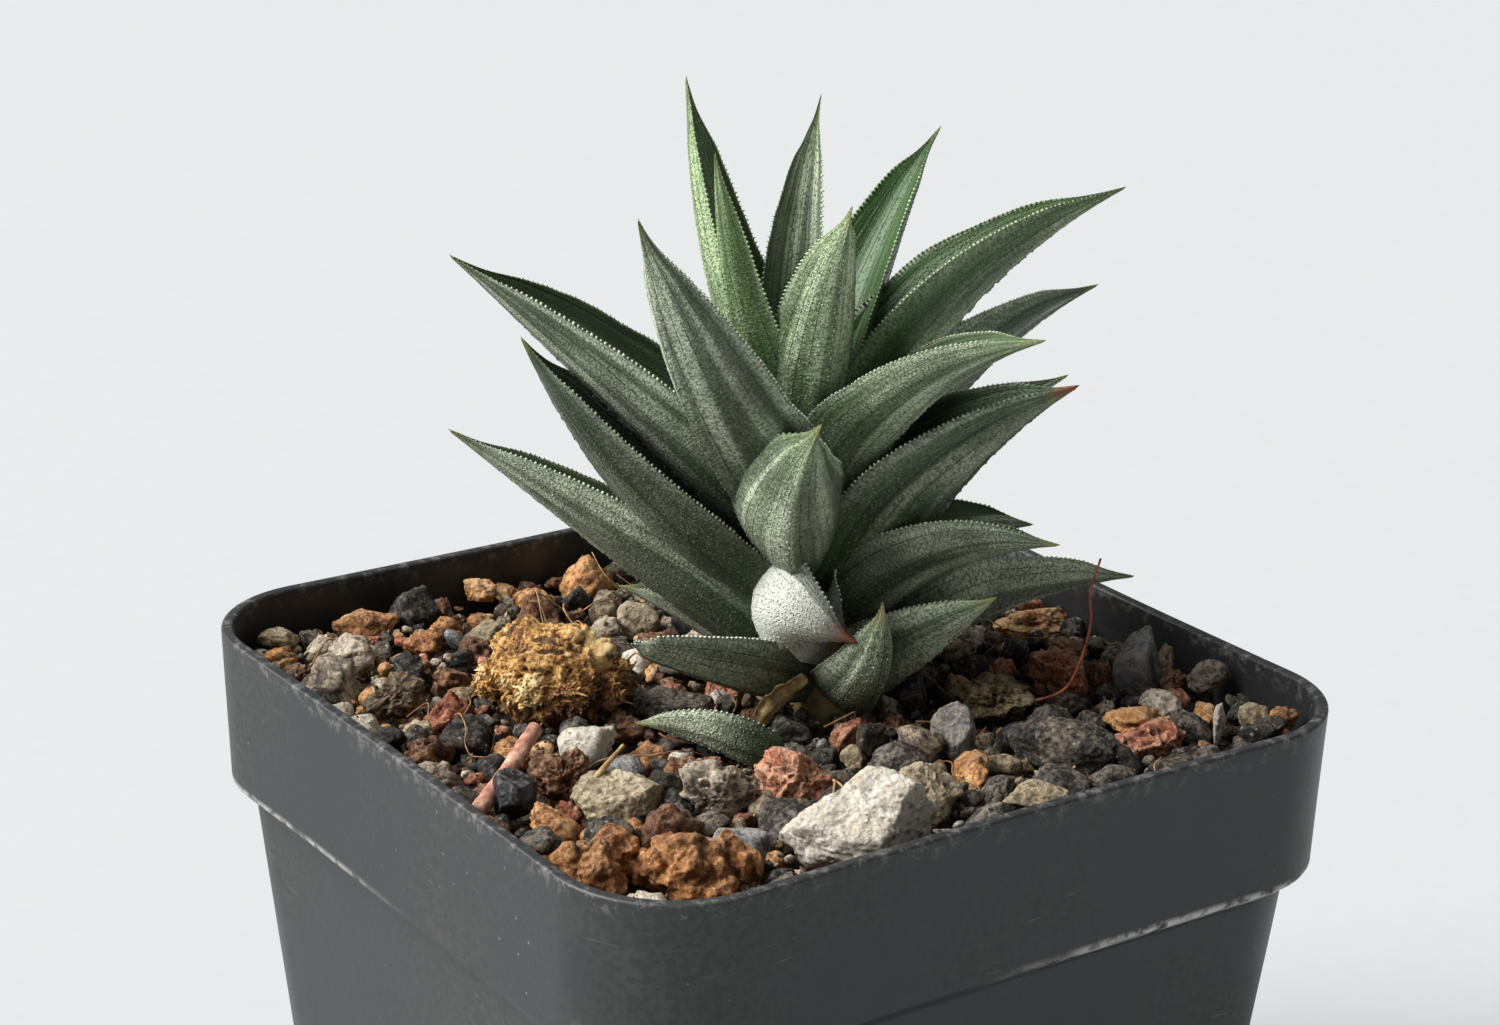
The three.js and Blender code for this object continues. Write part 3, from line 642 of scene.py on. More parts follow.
class MixSettings(bpy.types.PropertyGroup):
    """Sizes and colours of the potting mix"""

    seed: IntProperty(name="Seed", description="Another number strews the stones differently", default=11)
    grit_density: FloatProperty(
        name="Grit Density", description="Crumbs for each square metre", default=1.7e6)
    grit_radius: FloatProperty(
        name="Grit Radius", description="Radius of the largest crumbs", default=0.6 * MM, unit="LENGTH")
    dust_radius: FloatProperty(
        name="Dust Radius", description="Radius of the largest crumbs on stones",
        default=0.2 * MM, unit="LENGTH")


# ---- Stage ----

VIEW_TARGET = Vector((20.16, 31.39, 70.0)) * MM
VIEW_BACK = Vector((-0.536, -0.773, 0.339)).normalized()
VIEW_DISTANCE = 324.2 * MM
VIEW_ROLL = np.radians(1.04)
VIEW_LENS = 79.8
KEY_FROM = (-0.9, 0.5, 0.95)


def aim(thing, eye, target, roll=0.0):
    """Puts a camera or light at a point and turns it to another."""
    turned = (target - eye).to_track_quat("-Z", "Y").to_matrix() @ Matrix.Rotation(roll, 3, "Z")
    thing.matrix_world = Matrix.Translation(eye) @ turned.to_4x4()


class HAWORTHIA_OT_stage(bpy.types.Operator):
    """Adds the camera, the soft lights and the plain pale floor"""

    bl_idname = "haworthia.stage"
    bl_label = "Stage"

    def execute(self, context):
        """Builds the stage."""
        settings = context.scene.haworthia_stage
        camera = bpy.data.objects.new("camera", bpy.data.cameras.new("camera"))
        context.scene.collection.objects.link(camera)
        camera.data.lens = VIEW_LENS
        camera.data.clip_start = 0.01
        aim(camera, VIEW_TARGET + VIEW_BACK * VIEW_DISTANCE, VIEW_TARGET, VIEW_ROLL)
        context.scene.camera = camera
        context.scene.view_settings.view_transform = "Standard"

        world = bpy.data.worlds.new("studio")
        world.use_nodes = True
        backdrop = world.node_tree.nodes["Background"]
        backdrop.inputs["Color"].default_value = (0.97, 0.985, 1.0, 1)
        backdrop.inputs["Strength"].default_value = settings.room_light
        context.scene.world = world
        light = bpy.data.lights.new("key_light", "SUN")
        light.energy = settings.key_strength
        light.angle = settings.key_spread
        light.color = (1.0, 0.99, 0.97)
        key = bpy.data.objects.new("key_light", light)
        context.scene.collection.objects.link(key)
        aim(key, Vector(KEY_FROM), Vector((0, 0, 0)))

        half = settings.floor_size / 2 / MM
        corners = [(-half, -half, 0), (half, -half, 0), (half, half, 0), (-half, half, 0)]
        floor = make_piece("floor", corners, [(0, 1, 2, 3)])
        paint = Paint("floor_paper")
        shade = paint.fade(paint.noise(300.0), 0.3, 0.7, 0.985, 1.0)
        paper = paint.mix(1.0, settings.floor_color, shade, "MULTIPLY")
        floor.data.materials.append(paint.finish(paper, 0.9))
        return {"FINISHED"}


# ---- The pot ----


CORNER_STEPS = 18
SIDE_STEPS = 14
DENT_DEPTH = 0.08
HOLE_SIDES = 40
SHARP_FROM = np.radians(35)


def rounded_square(half, radius, bow):
    """A square outline with round corners, and sides that pull in by a bow between them."""
    points = []
    for turn in (0, 90, 180, 270):
        centre = compass(turn + 45) * np.sqrt(2) * (half - radius)
        points += [centre + radius * compass(turn + step) for step in np.linspace(0, 90, CORNER_STEPS + 1)]
        start = points[-1]
        side = compass(turn + 180) * 2 * (half - radius)
        inward = compass(turn + 270) * bow
        for share in np.arange(1, SIDE_STEPS) / SIDE_STEPS:
            points.append(start + side * share + inward * (1 - (2 * share - 1) ** 2))
    return np.array(points)


def outer_half(z):
    """Half the pot's outer width at a height."""
    heights = [0, LEDGE_FOOT, LEDGE_TOP, POT_HEIGHT]
    return float(np.interp(z, heights, [BODY_FOOT_HALF, BODY_TOP_HALF, COLLAR_FOOT_HALF, RIM_HALF]))


def pot_ring(z, inset, bow):
    """One ring of the pot, at a height and drawn in from its outer face."""
    share = np.clip(z / LEDGE_TOP, 0, 1)
    outline = rounded_square(outer_half(z) - inset, CORNER_RADIUS - inset, bow * share)
    outline[:, 2] = z
    return outline


def pot_profile():
    """Heights and insets, up the outside, over the rim and down the inside."""
    arc = np.radians(np.linspace(0, 90, 6))
    sunk = FOOT_ROUNDING + 6
    outside = [(0.5, sunk + 1), (0.35, sunk), (0, sunk - 0.8)]
    outside += [(FOOT_ROUNDING * (1 - np.sin(a)), FOOT_ROUNDING * (1 - np.cos(a))) for a in arc[::-1]]
    outside += [(z, 0) for z in np.linspace(3, LEDGE_FOOT - 0.5, 16)]
    outside += [(LEDGE_FOOT - 0.12, 0), (LEDGE_FOOT + 0.05, 0), (LEDGE_TOP - 0.3, 0)]
    outside += [(LEDGE_TOP - 0.1, -0.02), (LEDGE_TOP + 0.12, 0.0), (LEDGE_TOP + 0.6, 0)]
    outside += [(z, 0) for z in np.linspace(LEDGE_TOP + 1.6, POT_HEIGHT - 1.2, 9)]
    top = POT_HEIGHT - RIM_ROUNDING
    outside += [(top + RIM_ROUNDING * np.sin(a), RIM_ROUNDING * (1 - np.cos(a))) for a in arc]
    lip = WALL - RIM_ROUNDING
    inside = [(top + RIM_ROUNDING * np.cos(a), lip + RIM_ROUNDING * np.sin(a)) for a in arc]
    inside += [(z, WALL) for z in np.linspace(POT_HEIGHT - 1.4, LEDGE_TOP + 0.4, 8)]
    inside += [(z, WALL) for z in np.linspace(LEDGE_FOOT - 0.6, FLOOR + 1.2, 10)]
    inside += [(FLOOR + 0.3, WALL + 0.3), (FLOOR, WALL + 1.2)]
    return outside + inside


def pot_paint(settings):
    """Dull black moulded plastic, with chalk on the ledge, dust, specks and fine scuffs."""
    paint = Paint("black_plastic")
    x, y, z = paint.parts(paint.place)
    cloud = paint.noise(55.0, 5.0)
    fine = paint.noise(1500.0, 4.0, 0.6)
    ragged = paint.noise(700.0, 6.0, 0.7)

    ledge = paint.calc("ABSOLUTE", paint.calc("SUBTRACT", z, (LEDGE_TOP - 0.15) * MM))
    ledge = paint.fade(ledge, 0.2 * MM, 0.85 * MM, 1.0, 0.0)
    right_part = paint.fade(x, -6 * MM, 12 * MM)
    far_part = paint.fade(y, -4 * MM, 14 * MM)
    patches = paint.fade(paint.noise(160.0, 3.0), 0.3, 0.5, 0.15, 1.0)
    chalk = paint.times(ledge, paint.plus(right_part, paint.times(far_part, 0.7)), patches,
                        paint.fade(ragged, 0.36, 0.56))

    corner = paint.plus(x, y)
    smudge = paint.times(paint.fade(corner, -62 * MM, -67 * MM), paint.fade(z, 61 * MM, 55 * MM),
                         paint.fade(ragged, 0.45, 0.75, 0.0, 0.3))
    worn = paint.times(paint.fade(z, (POT_HEIGHT - 2.4) * MM, POT_HEIGHT * MM),
                       paint.fade(paint.noise(800.0, 6.0, 0.75), 0.48, 0.66, 0.0, 0.22))
    specks = paint.times(paint.fade(paint.cells(560.0), 0.03, 0.09, 0.3, 0.0),
                         paint.fade(paint.noise(45.0), 0.48, 0.6))
    stretched = paint.vector(paint.times(corner, 260.0), paint.times(z, 2400.0))
    scuffs = paint.times(paint.fade(paint.noise(1.0, 3.0, 0.6, stretched), 0.6, 0.72, 0.0, 0.14),
                         paint.fade(cloud, 0.5, 0.62))
    film = paint.times(paint.fade(cloud, 0.35, 0.8, 0.0, 0.06), paint.fade(fine, 0.35, 0.65, 0.3, 1.0))

    dust = paint.highest(film, chalk, smudge, worn, specks, scuffs)
    color = paint.mix(dust, settings.color, settings.dust_color)
    roughness = paint.fade(paint.plus(cloud, paint.times(dust, 0.8)), 0.4, 0.8, 0.42, 0.62)
    normal = paint.bump(fine, 0.02, paint.bump(chalk, 0.08))
    return paint.finish(color, roughness, normal, Specular_IOR_Level=0.42)


class HAWORTHIA_OT_pot(bpy.types.Operator):
    """Builds the square pot with its collar, ledge, thin rim and drainage holes"""

    bl_idname = "haworthia.pot"
    bl_label = "Pot"

    def execute(self, context):
        """Builds the pot."""
        settings = context.scene.haworthia_pot
        rings = np.array([pot_ring(z, inset, settings.side_bow / MM) for z, inset in pot_profile()])
        dents = DENT_DEPTH * np.abs(rough_noise(rings * 0.05, 3, 2))
        rings = rings - unit(rings * [1, 1, 0]) * dents[..., None]
        first = np.array([0, 0, 0.5])
        last = np.array([0, 0, FLOOR])
        pot = make_piece("nursery_pot", *skin(rings, first, last))
        drill = bmesh.new()
        for corner in range(4):
            place = compass(45 + 90 * corner) * np.sqrt(2) * HOLE_OFFSET * MM
            bmesh.ops.create_cone(
                drill, cap_ends=True, segments=HOLE_SIDES, radius1=HOLE_RADIUS * MM,
                radius2=HOLE_RADIUS * MM, depth=6 * FLOOR * MM, matrix=Matrix.Translation(Vector(place)))
        drill_mesh = bpy.data.meshes.new("drill")
        drill.to_mesh(drill_mesh)
        drill.free()
        drill_piece = bpy.data.objects.new("drill", drill_mesh)
        context.scene.collection.objects.link(drill_piece)
        cut = pot.modifiers.new("holes", "BOOLEAN")
        cut.operation = "DIFFERENCE"
        cut.solver = "EXACT"
        cut.object = drill_piece
        settle(pot)
        bpy.data.objects.remove(drill_piece)
        pot.data.shade_smooth()
        pot.data.set_sharp_from_angle(angle=SHARP_FROM)
        seat(pot, pot_paint(settings), "pot_plastic", "pot")
        return {"FINISHED"}


# ---- Stem and roots ----


def stem_point(height):
    """A point on the stem's axis, at a height above its foot."""
    share = height / (STEM_CROWN[2] - STEM_FOOT[2])
    return STEM_FOOT + (STEM_CROWN - STEM_FOOT) * share


def stem_paint():
    """Pale corky stem and roots, blotched brown."""
    paint = Paint("corky_stem")
    color = paint.ramp(paint.noise(420.0, 4.0, 0.6), (0.3, tone(94, 80, 52)), (0.55, tone(146, 130, 90)),
                       (0.75, tone(182, 170, 130)))
    return paint.finish(color, 0.8, paint.bump(paint.noise(1400.0, 5.0), 0.12))


class HAWORTHIA_OT_stem(bpy.types.Operator):
    """Builds the short stem inside the rosette and the fleshy roots in the mix"""

    bl_idname = "haworthia.stem"
    bl_label = "Stem And Roots"

    def execute(self, context):
        """Builds the stem and roots."""
        height = STEM_CROWN[2] - STEM_FOOT[2]
        path = np.linspace(stem_point(-STEM_BELOW), stem_point(height + STEM_ABOVE), 30)
        parts = [tube(path, np.linspace(*STEM_RADII, 30), 24, 0.1, 5)]
        start = stem_point(2 - STEM_BELOW)
        for i in range(ROOT_COUNT):
            outward = compass(360 * i / ROOT_COUNT + 20) * ROOT_SPREAD
            droop = ROOT_LENGTH * (1 if i % 2 else 0.8)
            knots = [start + outward * out - [0, 0, down * droop]
                     for out, down in ((0, 0), (0.35, 0.12), (0.75, 0.5), (0.85, 1))]
            parts.append(tube(smooth_path(knots, 32), np.linspace(*ROOT_RADII, 33), 12, 0.22, 20 + i))
        stem = make_piece("stem_with_roots", *joined(parts))
        seat(stem, stem_paint(), "stem", "stem_and_roots")
        return {"FINISHED"}


# ---- Leaves ----

BASE_WIDTH = 0.5
WIDEST_AT = 0.35
CURL = 0.3
UPPER_COLUMNS = 16
LOWER_COLUMNS = 26
STUD_JITTER = 0.3
STUD_SIDES = 5
STUD_SUNK = 0.25
SHEET_SHIFT = 13.7
LEAF_SEED = 50


def leaf_width(t):
    """Half the leaf's width, as a share of its greatest, from its base at 0 to its tip at 1."""
    rising = BASE_WIDTH + (1 - BASE_WIDTH) * np.sin(np.pi / 2 * np.minimum(t / WIDEST_AT, 1))
    falling = 1 - np.clip((t - WIDEST_AT) / (1 - WIDEST_AT), 0, 1) ** 1.7
    falling = falling * (1 - 0.55 * step_up(t, 0.82, 0.97))
    return np.where(t < WIDEST_AT, rising, falling)


class LeafForm:
    """Works out points on a leaf from a place along it and across it."""

    def __init__(self, leaf, seed):
        self.leaf = leaf
        self.seed = seed
        self.base = FALLEN_BASE if leaf.height is None else stem_point(leaf.height)
        outward = compass(leaf.turn)
        self.sideways = compass(leaf.turn + 90)
        self.tip = self.base + outward * leaf.reach + np.array([0, 0, leaf.rise])
        chord = unit(self.tip - self.base)
        upward = np.cross(chord, self.sideways)
        middle = (self.base + self.tip) / 2
        self.bend = middle + upward * 2 * leaf.arch + self.sideways * 2 * leaf.sweep
        self.length = np.linalg.norm(self.bend - self.base) + np.linalg.norm(self.tip - self.bend)

    def frame_at(self, t):
        """The midline's point and its side and up directions."""
        t = t[..., None]
        centre = self.base * (1 - t) ** 2 + self.bend * 2 * t * (1 - t) + self.tip * t**2
        along = unit((self.bend - self.base) * (1 - t) + (self.tip - self.bend) * t)
        side = unit(self.sideways - along * (along @ self.sideways)[..., None])
        up = np.cross(along, side)
        roll = np.radians(self.leaf.twist)
        return centre, side * np.cos(roll) + up * np.sin(roll), up * np.cos(roll) - side * np.sin(roll)

    def points(self, t, across, under):
        """Points on the upper skin, or on the lower one where under is 1."""
        leaf = self.leaf
        centre, side, up = self.frame_at(t)
        dried = DRIED_SHARES.get(leaf.name, 0)
        left = 1 - 0.85 * step_up(t, 1 - 1.25 * dried, 1 - 0.9 * dried) if dried else 1.0
        half = leaf.width / 2 * leaf_width(t) * left
        reach = np.abs(across)
        thick = (0.47 * leaf.width * (1 - t**1.6) * (0.8 + np.minimum(t, 0.2)) + 0.12) * left
        edge = np.stack([t * self.length / 5, np.sign(across) * 3.0, np.full(t.shape, self.seed * 7.3)], -1)
        wave = noise(edge, 1) * reach**3
        ripple = noise(edge * [4, 1, 1], 2) * reach**4
        fold = leaf.fold * half
        top = fold * reach**1.5
        keel = 0.05 * half * np.exp(-((across / 0.07) ** 2)) * step_up(t, 0.15, 0.45)
        creases = 0.014 * half * np.cos(across * 19 + self.seed) * (1 - reach)
        bottom = fold * reach**4.2 - thick * (1 - reach) ** 0.74 - keel + creases
        rise = np.where(under > 0.5, bottom, top + 0.03 * half * np.cos(across * 9) * (1 - reach))
        rise = rise + (0.1 * half * wave + 0.06 * ripple) * (1 - t)
        spread = across * half * (1 + 0.05 * wave) * (1 - CURL * leaf.fold**2 * reach**4)
        spread = spread + 0.05 * ripple * np.sign(across)
        return centre + side * spread[..., None] + up * rise[..., None]


def skin_lengths(form, under, across):
    """How far places across a leaf lie from its midline, measured along its skin where it is widest."""
    steps = np.linspace(-1, 1, 201)
    line = form.points(np.full(201, WIDEST_AT), steps, np.full(201, under))
    lengths = np.append(0, np.cumsum(np.linalg.norm(np.diff(line, axis=0), axis=1)))
    return np.interp(across, steps, lengths - lengths[100])


def leaf_mesh(leaf, seed, pitch):
    """Points, faces and attributes of a leaf whose rings follow its rows of tubercles."""
    rng = np.random.default_rng(seed)
    form = LeafForm(leaf, seed)
    rows = int(form.length / pitch)
    upper = np.arcsin(np.linspace(1, -1, UPPER_COLUMNS + 1))
    lower = np.linspace(-np.pi / 2, np.pi / 2, LOWER_COLUMNS + 1)[1:-1]
    under = np.concatenate([np.zeros(len(upper)), np.ones(len(lower))])
    lean, row = np.meshgrid(np.concatenate([upper, lower]), np.arange(rows) / rows)
    under = np.broadcast_to(under, row.shape)
    loose = (under > 0.5) & (row > 0)
    t = row + np.where(loose, rng.uniform(-STUD_JITTER, STUD_JITTER, row.shape) / rows, 0)
    aside = rng.uniform(-STUD_JITTER, STUD_JITTER, row.shape) * np.pi / LOWER_COLUMNS
    across = np.sin(lean + np.where(loose, aside, 0))
    edge = (under < 0.5) & (np.abs(across) > 0.999)
    rings = form.points(np.clip(t, 0, 0.999), across, under)

    half = leaf.width / 2 * leaf_width(t)
    dotted = step_up(rng.uniform(size=row.shape), 0.1, 0.8) * loose * (np.abs(across) < 0.97)
    stud = dotted * np.clip(half / 2.2, 0.3, 1) * step_up(t, 0.02, 0.12)
    tooth = edge * rng.uniform(0.55, 1, row.shape) * np.clip(half / 2, 0.35, 1) * step_up(t, 0.03, 0.1)
    centre, side, up = form.frame_at(t)
    outward = side * np.sign(across)[..., None] + 0.25 * up
    steep = unit(side * (across * 0.9)[..., None] - up)
    way = np.where(edge[..., None], unit(outward), steep)
    on_skin = np.where(under > 0.5, skin_lengths(form, 1.0, across), skin_lengths(form, 0.0, across))
    sheet = np.stack([on_skin, t * form.length, np.full(t.shape, seed * SHEET_SHIFT)], -1)

    points, faces = skin(rings, form.base, form.tip)
    ends = np.array([[0, 0, seed * SHEET_SHIFT], [0, form.length, seed * SHEET_SHIFT]])
    count = len(points)
    attributes = {
        "stud": np.append(stud.ravel(), [0, 0]),
        "tooth": np.append(tooth.ravel(), [0, 0]),
        "way": np.vstack([way.reshape(-1, 3), [[0, 0, 1]] * 2]),
        "sheet": np.vstack([sheet.reshape(-1, 3), ends]),
        "across": np.append(np.abs(across).ravel(), [0, 1]),
        "under": np.append(under.ravel(), [1, 1]),
        "to_tip": np.append(((1 - t) * form.length).ravel(), [form.length, 0]),
        "powder": np.full(count, leaf.powder),
        "green": np.full(count, leaf.green),
        "brown_tip": np.full(count, BROWN_TIPS.get(leaf.name, BROWN_TRACE)),
    }
    return points, faces, attributes


def leaf_grower(settings):
    """The tree that raises tubercles on a leaf's underside and teeth on its margins."""
    grower = Grower("leaf_studs_and_teeth", {
        "Stud Radius": settings.stud_radius, "Stud Height": 0.75,
        "Tooth Radius": 0.48, "Tooth Length": settings.tooth_length})
    given = grower.given
    turned = grower.pointed(grower.attribute("way", "FLOAT_VECTOR"))
    stud_height = grower.times(given["Stud Radius"], given["Stud Height"])
    tooth_radius = grower.times(given["Tooth Length"], given["Tooth Radius"])
    parts = [given["Geometry"]]
    for label, radius, height, raised in (("stud", given["Stud Radius"], stud_height, 0.5),
                                          ("tooth", tooth_radius, given["Tooth Length"], 1.0)):
        size = grower.attribute(label)
        wanted = grower.calc("GREATER_THAN", size, 0.05)
        wide = grower.times(size, radius)
        high = grower.times(size, height)
        scale = grower.add("ShaderNodeCombineXYZ", {0: wide, 1: wide, 2: high}).outputs[0]
        cone = grower.marked(grower.cone(STUD_SIDES, STUD_SUNK), "raised", raised)
        smooth = grower.add("GeometryNodeSetShadeSmooth", {"Geometry": cone}).outputs[0]
        parts.append(grower.copies(given["Geometry"], smooth, turned, scale, wanted))
    grower.output(*parts)
    return grower


def leaf_paint(settings):
    """Living leaf: dark tissue under pale powder and tubercles, a green channel, a brown or pale tip, and
    painted shade towards the base.
    """
    paint = Paint("haworthia_leaf")
    side_mm, along_mm, shift = paint.parts(paint.attribute("sheet", "Vector"))
    names = ("under", "green", "powder", "to_tip", "across", "raised", "brown_tip")
    under, green, powder, to_tip, across, raised, brown_tip = map(paint.attribute, names)

    def on_sheet(across_scale, along_scale):
        """A place on the leaf's own sheet, scaled apart across and along it."""
        return paint.vector(paint.times(side_mm, across_scale), paint.times(along_mm, along_scale), shift)

    def banded(across_scale, along_scale, detail=1.0):
        """Noise on the leaf's sheet."""
        return paint.noise(1.0, detail, 0.5, on_sheet(across_scale, along_scale))

    bands = banded(0.5, 0.03)
    streaks = banded(2.6, 0.06, 2.0)
    wander = paint.plus(paint.times(side_mm, 3.0), paint.times(banded(0.3, 0.05), 5.0))
    veins = paint.calc("ABSOLUTE", paint.calc("SINE", wander))
    veins = paint.fade(veins, 0.0, 0.2, paint.fade(banded(0.9, 0.1), 0.42, 0.66, 0.15, 0.95), 1.0)
    wrinkles = banded(2.4, 5.6, 4.0)
    bead_places = on_sheet(3.3, 3.3)
    bead_sizes = paint.parts(paint.cells(1.0, bead_places, 1))[0]
    beads = paint.times(paint.fade(paint.cells(1.0, bead_places), 0.12, 0.5, 1.0, 0.0),
                        paint.fade(bead_sizes, 0.1, 0.9, 0.2, 1.0))
    grain = paint.noise(4600.0, 3.0, 0.65)
    clouds = paint.noise(190.0, 4.0, 0.6)
    margin = paint.fade(across, 0.9, 0.99)
    inside_margin = paint.fade(across, 0.6, 0.84, 1.0, 0.62)
    keel = paint.fade(across, 0.0, 0.06, 1.0, 0.0)
    # Painted shade: the pale film fades out towards each leaf's base, deep in the rosette where its shade
    # falls.
    base_shade = paint.calc("DIVIDE", along_mm, paint.plus(along_mm, to_tip))
    base_shade = paint.fade(base_shade, 0.1, 0.62, 0.14, 1.0)
    palest = paint.fade(powder, 0.96, 1.0)

    fresh = paint.plus(green, paint.fade(to_tip, 0.0, 7.0, 0.5, 0.0))
    fresh = paint.calc("MINIMUM", fresh, 1.0)
    tissue = paint.mix(fresh, settings.tissue, settings.fresh)
    tissue = paint.mix(paint.fade(streaks, 0.38, 0.62, 0.65, 0.0), tissue, tone(14, 24, 12))
    film_color = paint.mix(paint.fade(fresh, 0.35, 1.0, 0.0, 0.6), settings.powder, tone(178, 208, 138))
    film_color = paint.mix(palest, film_color, tone(226, 230, 218))

    film = paint.times(powder, paint.fade(clouds, 0.32, 0.68, 0.6, 1.25),
                       paint.fade(bands, 0.4, 0.6, paint.fade(powder, 0.3, 0.95, 0.22, 0.6), 1.9),
                       veins, inside_margin)
    lining = paint.plus(paint.times(margin, 0.45), paint.times(keel, 0.16))
    film = paint.plus(film, paint.times(lining, paint.fade(powder, 0.0, 0.5, 0.5, 1.0)))
    film = paint.highest(paint.times(film, base_shade), palest)

    beads = paint.times(beads, paint.plus(paint.times(film, 1.3), 0.22))
    skin_share = paint.highest(paint.times(film, paint.fade(wrinkles, 0.34, 0.66, 0.3, 1.2)), palest, beads)
    lined = paint.plus(paint.fade(margin, 0.0, 1.0, 0.16, 0.9), paint.fade(powder, 0.7, 1.0, 0.0, 0.5))
    channel = paint.times(film, lined, paint.fade(streaks, 0.4, 0.62, 0.5, 0.9))
    share = paint.add("ShaderNodeMix", {0: under, 2: channel, 3: skin_share}).outputs[0]
    share = paint.highest(share, paint.times(raised, paint.plus(paint.times(film, 0.9), 0.3)))
    share = paint.calc("MINIMUM", paint.times(share, paint.fade(grain, 0.3, 0.6, 0.6, 1.0)), 0.95)
    color = paint.mix(share, tissue, film_color)

    tip_pale = paint.highest(paint.times(paint.fade(to_tip, 0.6, 3.6, 0.6, 0.0), keel),
                             paint.fade(to_tip, 0.4, 2.2, 0.7, 0.0))
    color = paint.mix(tip_pale, color, tone(150, 160, 96))
    tip_brown = paint.times(paint.fade(to_tip, 0.5, 3.4, 1.0, 0.0), brown_tip)
    color = paint.mix(tip_brown, color, tone(176, 104, 70))

    height = paint.plus(paint.times(beads, 0.8), paint.times(wrinkles, 0.4))
    normal = paint.bump(height, 0.1, paint.bump(paint.plus(veins, streaks), 0.06))
    return paint.finish(color, paint.fade(share, 0.0, 0.7, 0.42, 0.6), normal,
                        Specular_IOR_Level=0.4, Sheen_Weight=0.06, Sheen_Roughness=0.5)


class HAWORTHIA_OT_leaves(bpy.types.Operator):
    """Builds the leaves, each with its keel, channel, rows of tubercles and toothed margins"""

    bl_idname = "haworthia.leaves"
    bl_label = "Leaves"

    def execute(self, context):
        """Builds all leaves."""
        settings = context.scene.haworthia_leaf
        material = leaf_paint(settings)
        grower = leaf_grower(settings)
        for seed, leaf in enumerate(ALL_LEAVES, LEAF_SEED):
            points, faces, attributes = leaf_mesh(leaf, seed, settings.row_pitch / MM)
            piece = make_piece(leaf.name + "_blade", points, faces, attributes)
            grower.grow(piece, material)
            seat(piece, material, "leaf", leaf.name)
        return {"FINISHED"}


# ---- Stones ----

# How each kind of stone breaks: how many faces it has, how sharp its edges are, how near its middle a face
# may lie, and how rough and how pitted it is.
Break = namedtuple("Break", "facets edge nearest rough pits")
BREAKS = {
    "basalt": Break(9, 40, 0.6, 0.09, 0.0),
    "rough_basalt": Break(11, 24, 0.64, 0.15, 0.08),
    "slate": Break(7, 60, 0.6, 0.045, 0.0),
    "glassy": Break(8, 70, 0.6, 0.03, 0.0),
    "lava": Break(10, 24, 0.62, 0.17, 0.11),
    "brown_lava": Break(11, 20, 0.66, 0.18, 0.13),
    "clay": Break(14, 12, 0.75, 0.15, 0.08),
    "tan": Break(9, 34, 0.62, 0.11, 0.04),
    "pumice": Break(12, 22, 0.7, 0.085, 0.03),
    "bark": Break(8, 26, 0.6, 0.2, 0.05),
    "moss": Break(16, 8, 0.75, 0.3, 0.1),
}


def stone_points(rng, kind, size, divisions):
    """A broken stone about its middle: its points, its faces and how deep in a crease or pit each point lies,
    which sets the painted shade there.
    """
    way, faces = BALLS[divisions]
    form = BREAKS[kind]
    facing = unit(rng.normal(size=(form.facets, 3)))
    away = rng.uniform(form.nearest, 1.0, form.facets)
    near = np.maximum(way @ facing.T, 0) / away
    radius = np.minimum(np.maximum((near**form.edge).sum(1), 1e-6) ** (-1 / form.edge), 1.2)
    shift = rng.uniform(0, 60, 3)
    creases = creased_noise(way * 1.7 + shift, 1, 5)
    radius = radius * (1 + form.rough * creases)
    # How deep a point lies in a crease or pit, for the painted shade.
    hollow = step_up(-creases, 0.0, 1.1)
    if form.pits:
        holes = step_up(noise(way * 5.5 + shift, 9) + 0.6 * noise(way * 11 + shift, 10), 0.1, 0.75)
        radius = radius - form.pits * holes
        hollow = np.maximum(hollow, holes * min(form.pits / 0.05, 1))
    points = way * radius[:, None]
    extent = np.abs(points).max(0)
    return points / extent * np.array(size) / 2, faces, hollow


def rotated(points, rotation):
    """Points turned by a rotation matrix."""
    return points @ np.array(rotation).T


def spun(points, turn):
    """Points turned about +Z by an angle in degrees."""
    return rotated(points, Matrix.Rotation(np.radians(turn), 3, "Z"))


